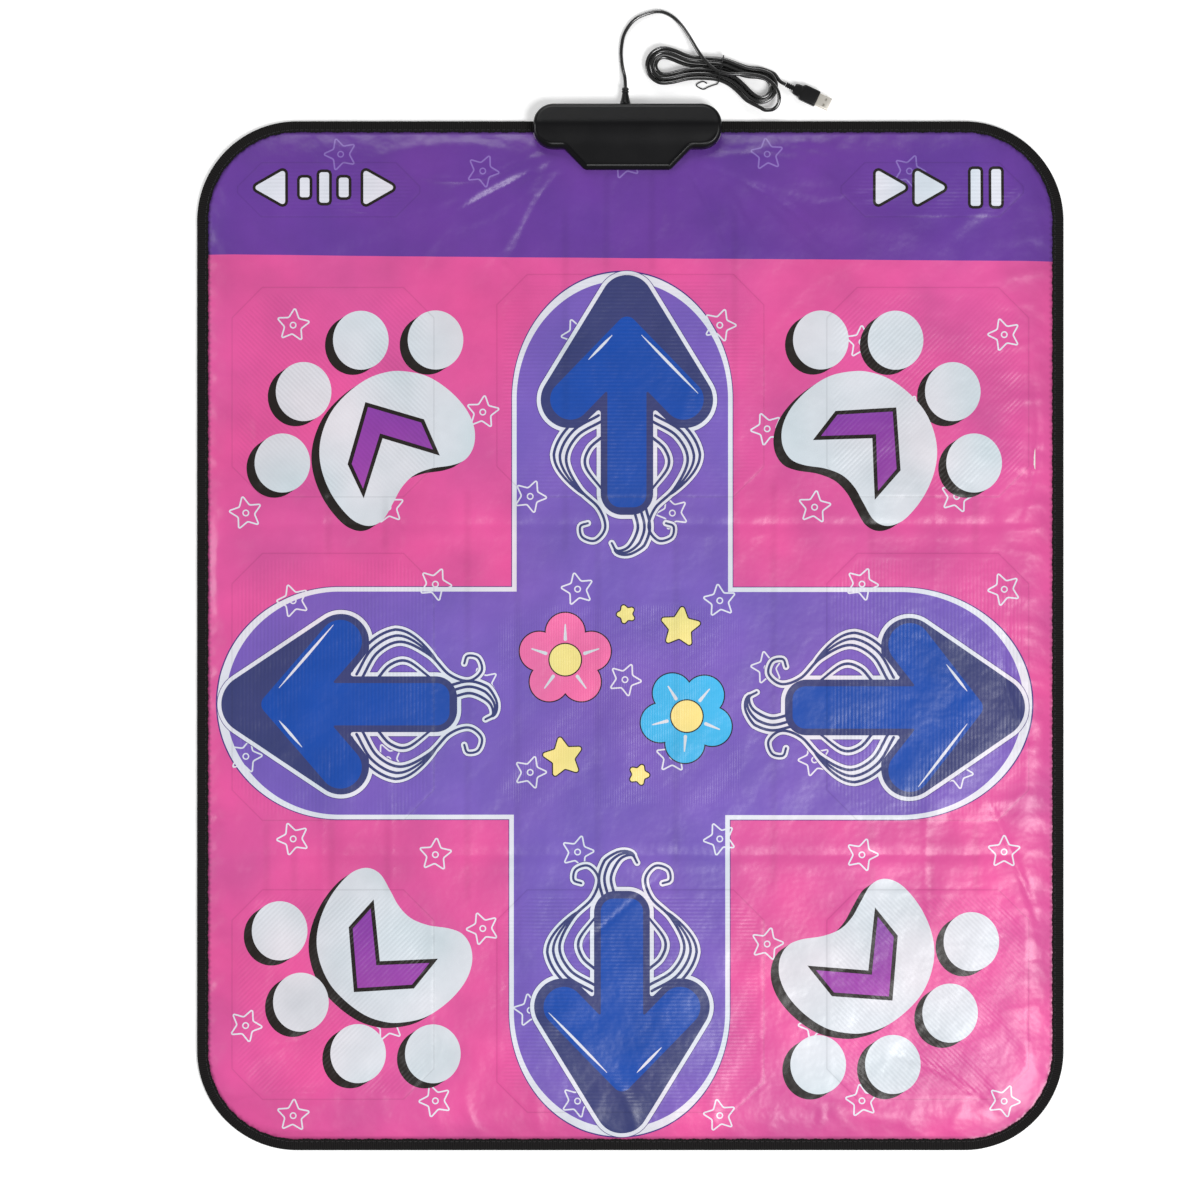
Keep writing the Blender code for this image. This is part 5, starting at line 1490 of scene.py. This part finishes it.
@dataclass
class Binding:
    """Woven tape folded round the sheets' edge and sewn through near its inner side.

    The profile gives the tape's section as pairs of inset and height.
    """

    form: MatForm
    profile: tuple[Point, ...] = (
        (10.4, 3.7), (10.5, 4.15), (10.1, 4.45), (7, 4.5), (3, 4.5), (1.3, 4.3), (0.4, 3.6), (0, 2.3),
        (0.4, 1.1), (1.3, 0.45), (3, 0.3), (7, 0.3), (10.1, 0.35), (10.5, 0.6), (10.4, 0.95), (2.2, 1),
        (1.1, 2.3), (2.2, 3.6),
    )
    tooth_mm: float = 4.0
    tooth_depth: float = 0.22
    waver: float = 0.3
    lift: float = 0.12
    tuck: float = 1.1
    stitch_inset: float = 8.3
    stitch_pitch: float = 4.8
    stitch_z: Point = (4.62, 0.3)
    stitch: Triple = (1.75, 0.3, 0.3)

    def edge(self, step_mm: float) -> tuple[Array, Array, Array]:
        """Return the outline's points, its inward normals and the distance walked, all round."""
        path = closer(self.form.outline(0.0, step_mm), step_mm)
        inward = -normals_along(path, True)
        inward /= np.linalg.norm(inward, axis=1)[:, None]
        steps = np.linalg.norm(np.roll(path, -1, 0) - path, axis=1)
        return path, inward, np.concatenate([[0], np.cumsum(steps)[:-1]])

    def parts(self, path: Array) -> Iterable[tuple[str, Array, tuple[str, ...]]]:
        """Give each strip's name, the places of its points in order, and the nodes that it replaces."""
        housing = HousingOutline()
        aside, reach = path[:, 0] - housing.middle_x, housing.half - self.tuck
        top = path[:, 1] > self.form.join_y
        for name, chosen, nodes in (
            ("upper_left", top & (aside < -reach), ("binding_top_left", "binding_middle_left")),
            ("upper_right", top & (aside > reach), ("binding_top_right", "binding_middle_right")),
            ("lower", ~top, ("binding_bottom",)),
        ):
            places = np.flatnonzero(chosen)
            gap = np.flatnonzero(np.diff(places) > 1)
            if len(gap):
                places = np.concatenate([places[gap[0] + 1:], places[:gap[0] + 1]])
            yield name, places, nodes

    def build(self) -> dict[str, list[Piece]]:
        """Build the tape's three strips and the stitches on them.

        Returns:
            The pieces on the cover's upper and on its lower sheet.
        """
        hems: dict[str, list[Piece]] = {"upper": [], "lower": []}
        path, inward, walked = self.edge(1.0)
        for part, places, nodes in self.parts(path):
            if part == "upper_right":
                places = np.insert(places, 0, places[0] - 1)
            elif part == "upper_left":
                places = np.append(places, places[-1] + 1)
            name = f"binding_{part}"
            piece = new_piece(name, self.strip(name, path[places], inward[places], walked[places]), TAPE)
            bend_between(piece, self.form, part != "lower")
            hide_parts(*nodes)
            hems[part.split("_")[0]].append(piece)
        self.sew(hems)
        for piece in (*hems["upper"], *hems["lower"]):
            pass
        return hems

    def strip(self, name: str, path: Array, inward: Array, walked: Array) -> Mesh:
        """Return one strip's mesh: the profile swept along the edge, with toothed inner edges.

        Args:
            name: the mesh's name.
            path: the mat's edge.
            inward: its inward normals.
            walked: the distance along it.
        """
        count = len(self.profile)
        tooth = self.tooth_depth * np.sin(math.tau * walked / self.tooth_mm)
        slow = self.waver * np.sin(walked / 2.6 + 2 * np.sin(walked / 17))
        rise = self.lift * np.sin(walked / 9 + 3 * np.sin(walked / 41))
        rings = []
        for inset, z in self.profile:
            shift = tooth + slow if inset > 9 else 0.1 * tooth
            flat = path + inward * (inset + shift)[:, None]
            rings.append(np.column_stack([flat, z + rise * (z > 1.5)]))
        mesh = new_mesh(name, np.stack(rings, 1).reshape(-1, 3), np.array(ring_faces(len(path), count)))
        around = np.concatenate([[0], np.cumsum(np.linalg.norm(np.diff(self.profile, axis=0), axis=1))])
        index = np.empty(len(mesh.loops), np.int32)
        mesh.loops.foreach_get("vertex_index", index)
        uv = np.column_stack([np.repeat(walked, count)[index], np.tile(around, len(path))[index]]) * MM
        mesh.uv_layers.new(name="tape").data.foreach_set("uv", uv.astype(np.float32).ravel())
        smooth_shade(mesh, 50)
        return mesh

    def sew(self, hems: dict[str, list[Piece]]) -> None:
        """Sew the tape, a row of stitches on top and one below, and add them to the hems."""
        path, inward, _ = self.edge(self.stitch_pitch)
        ahead = np.column_stack([inward[:, 1], -inward[:, 0], np.zeros(len(path))])
        for part, places, _ in self.parts(path):
            flat = path[places] + inward[places] * self.stitch_inset
            rows = np.concatenate([np.column_stack([flat, np.full(len(flat), z)]) for z in self.stitch_z])
            headings = np.concatenate([ahead[places]] * 2)
            stitches = repeated(f"stitches_{part}", rows, headings, self.stitch, THREAD)
            bend_between(stitches, self.form, part != "lower")
            hems[part.split("_")[0]].append(stitches)


@dataclass
class HousingShell(HousingOutline):
    """The housing's upper shell: a hipped roof with a rounded rim and a tongue over the mat.

    The heights are those of the roof's front tip, ridge and back, and the bead along the front
    is given by its inset, half width and height.
    """

    tongue: float = 19.5
    shoulder: float = 9.5
    taper: float = 19.0
    front_round: float = 6.0
    ridge_y: float = 470.5
    ridge_round: float = 0.35
    heights: Triple = (13.5, 20.0, 15.0)
    rim_radius: float = 3.4
    lip_z: float = 9.0
    foot_z: float = 6.85
    foot_bevel: Point = (0.45, 0.5)
    bead: Triple = (3.6, 1.1, 0.5)

    def outline(self) -> Array:
        """Return the shell's outline, counter-clockwise."""
        back_half = self.half - self.end_radius - self.shoulder
        right = (
            (back_half - self.taper, self.front - self.tongue, self.front_round),
            (back_half, self.front, self.front_round),
            (self.half, self.front, self.end_radius),
            (self.half, self.back, self.end_radius),
        )
        left = [(-x, y, radius) for x, y, radius in reversed(right)]
        return closer(round_corners([(self.middle_x + x, y, r) for x, y, r in (*right, *left)], 0.8), 1.6)

    def roof(self, y: Array) -> Array:
        """Return the roof's height before its rim is rounded, with a soft crease at the ridge."""
        front, ridge, back = self.heights
        tip, soft = self.front - self.tongue, self.ridge_round
        rise = ridge - (self.ridge_y - y) * (ridge - front) / (self.ridge_y - tip)
        fall = ridge - (y - self.ridge_y) * (ridge - back) / (self.back - self.ridge_y)
        return -soft * np.logaddexp(-rise / soft, -fall / soft)

    def build(self) -> None:
        """Build the shell in one mesh: roof, rounded rim and wall."""
        outline, radius = self.outline(), self.rim_radius
        at, wide, tall = self.bead
        insets = [radius * (1 - math.cos(math.radians(angle))) for angle in (12, 25, 38, 52, 66, 80, 90)]
        insets += [at + wide * share for share in (0.5, 1.0, 1.6, 2.3)]
        low, high = outline.min(0), outline.max(0)
        grid = lattice(120.0, np.arange(low[1], high[1], 2.0), 2.2)
        grid = grid[covered_by([grow(outline, -insets[-1] - 0.8)], grid)]
        points, faces = cut_plan(grid, [outline, *(grow(outline, -inset) for inset in insets)], [], 4.0)
        faces = faces[covered_by([grow(outline, 0.01)], points[faces].mean(1))]
        inset, _ = nearest(points, np.concatenate([outline, outline[:1]]))
        drop = radius - np.sqrt(np.maximum(0, radius**2 - np.maximum(0, radius - inset) ** 2))
        front = glide((self.ridge_y - 6 - points[:, 1]) / 14)
        z = self.roof(points[:, 1]) - drop + tall * front * (hump(inset - at, wide) - glide(inset - at))
        rim = [int(np.argmin(np.linalg.norm(points - place, axis=1))) for place in outline]
        foot = np.where(outline[:, 1] < self.front - 0.05, self.lip_z, self.foot_z)
        tucked, bevel = self.foot_bevel
        wall = (np.column_stack([outline, foot + bevel]), np.column_stack([grow(outline, -tucked), foot]))
        count, start = len(outline), len(points)
        quads = []
        for i in range(count):
            j = (i + 1) % count
            quads.append((rim[i], start + i, start + j, rim[j]))
            quads.append((start + i, start + count + i, start + count + j, start + j))
        everything = np.concatenate([np.column_stack([points, z]), *wall])
        mesh = new_mesh("control_housing", everything, [*faces.tolist(), *quads])
        smooth_shade(mesh, 38)
        piece = new_piece("control_housing", mesh, ABS)
        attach(piece, "mat_top")
        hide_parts("housing_shell")


# Cord


GLAND = np.array((-4.7, 490.0, 6.85))
CORD_RADIUS = 1.75
FLOOR_PLAY = 0.1
LATHE_SIDES = 48
PLUG_HEADING = math.radians(-25)
PLUG_PLACE = np.array((-4.7 + 148.3, 490.0 + 18.6, 4.0))


def loft(
    name: str, rings: Sequence[Array], finish: Finish, ends: tuple[bool, bool], angle: float,
) -> Piece:
    """Return a piece through matching rings.

    Args:
        name: its name.
        rings: its sections, with as many points each.
        finish: its finish.
        ends: whether its first and last ends are closed.
        angle: edges sharper than this many degrees stay sharp.
    """
    count, total = len(rings[0]), len(rings) * len(rings[0])
    faces = ring_faces(len(rings), count)
    if ends[0]:
        faces.append(tuple(reversed(range(count))))
    if ends[1]:
        faces.append(tuple(range(total - count, total)))
    mesh = new_mesh(name, np.concatenate(rings), faces)
    smooth_shade(mesh, angle)
    return new_piece(name, mesh, finish)


def lathe(name: str, profile: Sequence[Point], place: Array, finish: Finish) -> Piece:
    """Turn a profile of (radius, distance) pairs round the Y axis; its faces look inwards."""
    angles = np.arange(LATHE_SIDES) * math.tau / LATHE_SIDES
    circle_points = np.column_stack([np.cos(angles), np.zeros(LATHE_SIDES), np.sin(angles)])
    rings = [circle_points * radius + (0, along, 0) + place for radius, along in profile]
    return loft(name, rings, finish, (True, True), 40)


def tube(name: str, points: Array, radius: float, finish: Finish, resolution: int = 4) -> Piece:
    """Return a curve piece, round and closed at its ends, through points in millimetres."""
    curve = bpy.data.curves.new(name, "CURVE")
    curve.dimensions = "3D"
    curve.bevel_depth = radius * MM
    curve.bevel_resolution = resolution
    curve.use_fill_caps = True
    spline = curve.splines.new("POLY")
    spline.points.add(len(points) - 1)
    spline.points.foreach_set("co", np.column_stack([points * MM, np.ones(len(points))]).ravel())
    spline.use_smooth = True
    return new_piece(name, curve, finish)


@dataclass
class Lead:
    """The thin lead, its hank, the wire tie round it, the gland and the plug.

    The hank is wound round a waist at the tie, between a lobe at its left end and one at its
    right. The route and the tie's tail are given from the gland's root.
    """

    tie: Point = (88.2, 32.6)
    pitch: float = 4.2
    waist: float = 11.2
    layer_loops: float = 2.5
    lobe: float = 18.2
    left_end: float = 72.0
    right_end: float = 60.0
    left_tilt: float = math.radians(-4)
    right_tilt: float = math.radians(-24)
    bend_half: float = 26.0
    opening: float = math.radians(112)
    run_handle: float = 0.42
    run_steps: int = 3
    arc_steps: int = 6
    start_step: int = 8
    steps: int = 116
    climb: float = 0.16
    tie_radius: float = 0.6
    lift_reach: float = 26.0
    clearance: float = 0.3
    route: tuple[Triple, ...] = (
        (-0.7, 26.5, 5.6), (-2.9, 37, 2.6), (-3.7, 51, 1.9), (-0.5, 66.5, 1.9), (10.2, 80, 1.9),
        (28.7, 86.4, 1.9), (41.5, 83, 2.2), (51.2, 74, 4), (59.2, 62, 7.4), (67.2, 48, 10.7),
        (75.7, 37, 11.5), (85.7, 29.4, 11.9), (96.7, 27.2, 11.5), (107.7, 27.4, 10.8), (118.7, 26.4, 10.4),
        (128.2, 24, 10.2), (135.3, 19, 10.2), (139.9, 12.6, 10.2), (141.8, 5.6, 10), (140.4, -0.8, 8.4),
        (135.6, -4.9, 6.9),
    )
    tie_tail: tuple[Point, ...] = (
        (84.9, 19.6), (80.7, 18.4), (76.2, 16.7), (71.7, 14.8), (65.7, 18.6), (71.3, 22), (75.7, 20.2),
    )

    @property
    def floor(self) -> float:
        """Return the height of the cord's axis where it lies on the floor."""
        return CORD_RADIUS + FLOOR_PLAY

    def from_gland(self, x: float, y: float, z: float = 0.0) -> Array:
        """Return a place given in millimetres from the gland's root."""
        return np.array((GLAND[0] + x, GLAND[1] + y, z))

    @staticmethod
    def share(value: float, half: float) -> float:
        """Return a smooth climb from 0 to 1 while a value goes from -half to half."""
        return float(glide(np.array((value + half) / (2 * half))))

    def quarter(self, end: float) -> tuple[float, list[Array]]:
        """Return the lobe's centre, and the points of a run from the waist to its lobe."""
        centre = end - CORD_RADIUS - self.lobe
        touch = np.array((math.cos(self.opening), math.sin(self.opening))) * self.lobe + (centre, 0)
        reach = touch[0] * self.run_handle
        leaving = np.array((math.sin(self.opening), -math.cos(self.opening)))
        waist = np.array((0.0, self.waist))
        handles = (waist, waist + (reach, 0), touch - leaving * reach, touch)
        return centre, bezier(handles, (step / self.run_steps for step in range(self.run_steps)))

    def loop(self) -> tuple[Array, Array]:
        """Return the outer loop's points and their distances along the hank."""
        right_centre, right_run = self.quarter(self.right_end)
        left_centre, left_run = self.quarter(self.left_end)
        right_arc, left_arc = [], []
        for step in range(self.arc_steps + 1):
            angle = self.opening * (1 - 2 * step / self.arc_steps)
            across, reach = self.lobe * math.sin(angle), self.lobe * math.cos(angle)
            right_arc.append(np.array((right_centre + reach, across)))
            left_arc.append(np.array((-left_centre - reach, -across)))
        flat = right_run + right_arc
        flat += [p * (1, -1) for p in reversed(right_run)]
        flat += [p * (-1, -1) for p in left_run[1:]]
        flat += left_arc
        flat += [p * (-1, 1) for p in reversed(left_run[1:])]
        bent = []
        for x, y in flat:
            tilt = self.left_tilt + (self.right_tilt - self.left_tilt) * self.share(x, self.bend_half)
            c, s = math.cos(tilt), math.sin(tilt)
            bent.append((x * c - y * s, x * s + y * c))
        return np.array(bent), np.array([p[0] for p in flat])

    def tie_lift(self, along: float) -> float:
        """Return how far the tie under the waist lifts the hank."""
        return (2 * self.tie_radius + self.clearance) * float(hump(along, self.lift_reach))

    def hank(self) -> Array:
        """Return the points of the hank's loops and of the end that runs to the plug."""
        loop, along = self.loop()
        count = len(loop)
        tie = self.from_gland(*self.tie)[:2]
        route = []
        for step in range(self.steps + 1):
            index = (self.start_step + step) % count
            turns = step / count
            ahead = loop[(index + 1) % count] - loop[index - 1]
            outward = unit(np.array((-ahead[1], ahead[0])))
            depth = min(turns, 2 * self.layer_loops - turns)
            flat = tie + loop[index] - outward * depth * self.pitch
            fallen = self.share(turns - self.layer_loops, self.climb)
            route.append((*flat, self.floor + self.tie_lift(along[index]) + self.pitch * (1 - fallen)))
        route = np.array(route)
        lead_in = unit(route[0] - route[1]) * 2 * CORD_RADIUS * (1, 1, 0)
        return np.concatenate([[route[0] + lead_in], route, self.plug_end(route[-2], route[-1])])

    def plug_end(self, before: Array, last: Array) -> Array:
        """Return the points from the hank's last loop to the plug's strain relief."""
        heading = np.array((math.cos(PLUG_HEADING), math.sin(PLUG_HEADING), 0))
        plug = PLUG_PLACE - heading * self.clearance
        straight = plug - heading * 2 * CORD_RADIUS
        leaving = unit(last - before)
        reach = np.linalg.norm(straight - last) / 3
        handles = (last, last + leaving * reach, straight - heading * reach, straight)
        return np.array([*bezier(handles, (0.25, 0.5, 0.75, 1.0)), plug])

    def build(self) -> None:
        loops = self.hank()
        arriving = unit(loops[0] - loops[1])
        tip = GLAND + (0, 15.6, 0)
        points = [tip + (0, 2 * CORD_RADIUS, 0), *[self.from_gland(*p) for p in self.route]]
        points.append(loops[0] + arriving * (2 * CORD_RADIUS + self.clearance))
        whole = [tip - (0, 2.0, 0), tip, *smooth_through(points, 6.0), *loops]
        cord = tube("lead_cord", smooth_through(whole, 2.2), CORD_RADIUS, PVC)
        tie = self.build_tie()
        body, metal = Plug().build()
        gland = self.build_gland()
        for piece in (cord, tie, body, metal, gland):
            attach(piece, "mat_top")
        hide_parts("lead", "lead_hank")
        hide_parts("wire_tie")
        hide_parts("plug_body")
        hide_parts("plug_shell")
        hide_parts("cable_gland")

    def build_gland(self) -> Piece:
        """Build the strain relief: a rounded taper with two collar rings at its tip."""
        profile = [(3.0, -2.4), (3.0, 0.3), (4.5, 0.3), (4.8, 0.7), (4.75, 1.6)]
        profile += [(4.7 - 1.8 * share**0.9, 1.6 + 8.2 * share) for share in np.linspace(0.1, 1, 9)]
        for middle in (11.55, 13.85):
            profile += [(2.75, middle - 0.95)]
            for a in np.linspace(-1.5, 1.5, 7):
                profile.append((2.85 + 0.55 * math.cos(a), middle + 0.75 * math.sin(a)))
            profile += [(2.75, middle + 0.95)]
        profile += [(2.8, 15.0), (2.5, 15.3), (1.8, 15.3)]
        return lathe("cable_strain_relief", profile, GLAND, PLUG_PVC)

    def build_tie(self) -> Piece:
        """Build the wire tie: once round the waist, then a tail with a small loop on the floor."""
        loop = self.loop()[0]
        tie = self.from_gland(*self.tie)[:2]
        axis = unit(loop[1] - loop[-1])
        across = np.array((-axis[1], axis[0]))
        ground = self.floor + self.tie_lift(0)
        top = ground + self.pitch
        lead = min((self.from_gland(*p) for p in self.route), key=lambda p: np.linalg.norm(p[:2] - tie))
        centres = np.array([
            (-self.waist + self.pitch / 6, top), ((lead[:2] - tie) @ across, lead[2]),
            (self.waist - self.pitch / 3, top), (self.waist - self.pitch / 3, ground),
            (-self.waist + self.pitch / 2, ground),
        ])
        ring = []
        radius = CORD_RADIUS + self.clearance + self.tie_radius
        for index, here in enumerate(centres):
            arriving = here - centres[index - 1]
            leaving = centres[(index + 1) % len(centres)] - here
            start = math.atan2(arriving[0], -arriving[1])
            turn = (start - math.atan2(leaving[0], -leaving[1])) % math.tau
            for angle in np.linspace(start, start - turn, 9):
                ring.append(here + np.array((math.cos(angle), math.sin(angle))) * radius)
        route = [(*(tie + across * p[0]), p[1]) for p in ring[1:-1]]
        ground_z = self.tie_radius + FLOOR_PLAY
        tail = smooth_through([self.from_gland(x, y, ground_z) for x, y in self.tie_tail], 1.5)
        return tube("cord_tie", np.array([*route, *tail]), self.tie_radius, PLUG_PVC, 2)


@dataclass
class Plug:
    """The moulded plug with its ribbed relief, and its plated metal shell with two latch windows."""

    relief: float = 8.0
    ribs: int = 4
    body: float = 24.0
    width: float = 15.0
    height: float = 7.8
    gap: float = 0.3
    shell: float = 12.0
    shell_width: float = 12.0
    shell_height: float = 4.5
    wall: float = 0.4
    window: float = 2.2
    window_aside: float = 2.7
    sharp: float = 32.0

    @staticmethod
    def ring(along: float, width: float, height: float, radius: float) -> Array:
        """Return one rounded section's points at their place along and across the plug's axis."""
        radius = min(radius, 0.498 * min(width, height))
        corners = [(sx * width / 2, sy * height / 2) for sx, sy in ((1, -1), (1, 1), (-1, 1), (-1, -1))]
        out = []
        for index, (x, y) in enumerate(corners):
            centre = np.array((x - math.copysign(radius, x), y - math.copysign(radius, y)))
            for angle in np.radians(np.linspace(-90, 0, 7) + 90 * index):
                out.append((along, *(centre + radius * np.array((math.cos(angle), math.sin(angle))))))
        return np.array(out)

    @staticmethod
    def place(points: Array) -> Array:
        """Turn and move points drawn along the X axis to the plug's place."""
        c, s = math.cos(PLUG_HEADING), math.sin(PLUG_HEADING)
        x, y = points[:, 0] * c - points[:, 1] * s, points[:, 0] * s + points[:, 1] * c
        return np.column_stack([x, y, points[:, 2]]) + PLUG_PLACE

    def loft(self, name: str, rings: list[Array], finish: Finish, ends: tuple[bool, bool]) -> Piece:
        """Return a piece through rings drawn along the X axis, at the plug's place."""
        return loft(name, [self.place(ring) for ring in rings], finish, ends, self.sharp)

    def build(self) -> tuple[Piece, Piece]:
        """Build the body and the shell."""
        rings = [self.ring(0.0, 3.9, 3.9, 2.0)]
        for rib in range(self.ribs):
            grown = 4.9 + 0.5 * rib / self.ribs
            for share, size in (
                (0.05, grown - 0.5), (0.15, grown), (0.55, grown), (0.66, grown - 0.6),
                (0.7, 4.1), (0.95, 4.1),
            ):
                rings.append(self.ring((rib + share) * self.relief / self.ribs, size, size, 3.0))
        for along, across, up in (
            (0.0, 0.52, 0.60), (0.02, 0.60, 0.72), (0.05, 0.66, 0.80), (0.12, 0.72, 0.84), (0.22, 0.74, 0.85),
            (0.28, 0.76, 0.86), (0.31, 0.84, 0.92), (0.34, 0.94, 0.98), (0.38, 0.99, 1.0), (0.45, 1.0, 1.0),
            (0.93, 1.0, 1.0), (0.97, 0.985, 0.97), (0.99, 0.96, 0.93), (1.0, 0.91, 0.86),
        ):
            wide, tall = self.width * across, self.height * up
            rings.append(self.ring(self.relief + self.body * along, wide, tall, 2.1))
        wide, tall, wall, root = self.shell_width, self.shell_height, self.wall, self.relief + self.body
        rings.append(self.ring(root, wide - 1, tall - 1, 0.4))
        plug = self.loft("plug_grip", rings, PLUG_PVC, (True, True))
        start, end = root - 0.6, root + self.gap + self.shell
        sections = (
            (start, 0.0, 0.8), (end - 0.25, 0.0, 0.8), (end - 0.08, 0.1, 0.75), (end, 0.3, 0.65),
            (end, 2 * wall, 0.4), (start + 2, 2 * wall, 0.4),
        )
        rings = [self.ring(along, wide - less, tall - less, radius) for along, less, radius in sections]
        shell = self.loft("plug_metal", rings, NICKEL, (False, True))
        self.windows(shell, root + self.gap + self.shell * 0.56)
        return plug, shell

    def windows(self, shell: Piece, middle: float) -> None:
        """Cut the two square latch windows in the shell's upper and lower sides."""
        half, cutters = self.window / 2, []
        for side in (-1, 1):
            rings = [self.ring(middle + end * half, self.window, 8.0, 0.15) for end in (-1, 1)]
            for ring in rings:
                ring[:, 1] += side * self.window_aside
            cutters.append(self.loft(f"window_cutter_{side}", rings, NICKEL, (True, True)))
            step = shell.modifiers.new("window", "BOOLEAN")
            step.object = cutters[-1]
            step.operation = "DIFFERENCE"
        depsgraph = bpy.context.evaluated_depsgraph_get()
        shell_mesh = bpy.data.meshes.new_from_object(shell.evaluated_get(depsgraph))
        shell.modifiers.clear()
        shell.data = shell_mesh
        smooth_shade(shell_mesh, self.sharp)
        for cutter in cutters:
            bpy.data.objects.remove(cutter)


# Kept parts, stage and camera


def dress_kept_nodes() -> None:
    """Give every part of the model that stays its own finish."""
    finishes = (
        ("cushion_foam", FOAM), ("spacer_foam", FOAM), ("electrode_film", FILM), ("contact_film", FILM),
        ("housing_base", ABS), ("housing_screw", NICKEL), ("circuit_board", SOLDER_MASK), ("film_clamp", ABS),
        ("epoxy_chip", EPOXY), ("capacitor", SLEEVE), ("plug_tongue", INSERT),
    )
    for name in frame["nodes"]:
        for part, finish in finishes:
            if part in name:
                for place in bpy.data.objects[name].material_slots:
                    place.material = made(finish)


@dataclass
class Studio:
    """A pale floor, three large soft lights and the photograph's camera.

    Each light has a name, its place, what it aims at, its size and its power. The lens is in
    millimetres, the rest in metres.
    """

    paper: Finish = Finish("studio_paper", "FFFFFF", roughness=0.9)
    paper_glow: float = 0.22
    floor_half: float = 9.0
    floor_drop: float = 0.0002
    sky: float = 0.2
    place: Triple = (-0.028, 0.033, 3.0)
    lens: float = 97.4
    sensor: float = 36.0
    far: float = 50.0
    lights: tuple[tuple[str, Sequence[float], Sequence[float], float, float], ...] = (
        ("overhead_softbox", (1.45, -1.35, 2.9), (0.1, -0.1, 0), 1.5, 97),
        ("back_softbox", (-0.3, 3.6, 2.2), (0, 0.1, 0), 1.6, 42),
        ("side_softbox", (-3.4, 0.2, 1.4), (0, 0, 0), 1.5, 48),
    )

    def build(self) -> None:
        """Build the floor, the lights and the camera."""
        half, white = self.floor_half / MM, linear("FFFFFF")
        corners = np.array([(-half, -half, 0), (half, -half, 0), (half, half, 0), (-half, half, 0)])
        stage = new_piece("studio_floor", new_mesh("studio_floor", corners, [(0, 1, 2, 3)]), self.paper)
        shader = made(self.paper).node_tree.nodes["Principled BSDF"]
        shader.inputs["Emission Color"].default_value = white
        shader.inputs["Emission Strength"].default_value = self.paper_glow
        stage.location.z = -self.floor_drop
        for light in self.lights:
            self.light(*light)
        world = bpy.data.worlds.new("studio_world")
        bpy.context.scene.world = world
        world.use_nodes = True
        sky = world.node_tree.nodes["Background"]
        sky.inputs["Color"].default_value = white
        sky.inputs["Strength"].default_value = self.sky
        data = bpy.data.cameras.new("photo_camera")
        data.lens, data.sensor_width, data.clip_end = self.lens, self.sensor, self.far
        camera = linked("photo_camera", data)
        camera.location = self.place
        bpy.context.scene.camera = camera
        bpy.context.scene.view_settings.view_transform = "Standard"

    @staticmethod
    def light(name: str, place: Sequence[float], aim: Sequence[float], size: float, power: float) -> None:
        """Add one square soft light."""
        data = bpy.data.lights.new(name, "AREA")
        data.shape, data.size, data.energy = "SQUARE", size, power
        lamp = linked(name, data)
        lamp.location = place
        lamp.rotation_euler = (Vector(aim) - Vector(place)).to_track_quat("-Z", "Y").to_euler()


def main() -> None:
    """Build the whole dressed mat."""
    logging.basicConfig(level=logging.INFO, format="%(name)s: %(message)s")
    Studio().build()
    Lead().build()
    form = MatForm()
    BaseCloth(form).build()
    cover = Cover(form, Artwork().draw())
    pieces = cover.build()
    cover.attach(pieces, Binding(form).build())
    HousingShell().build()
    dress_kept_nodes()
    bpy.context.view_layer.update()


if __name__ == "__main__":
    main()
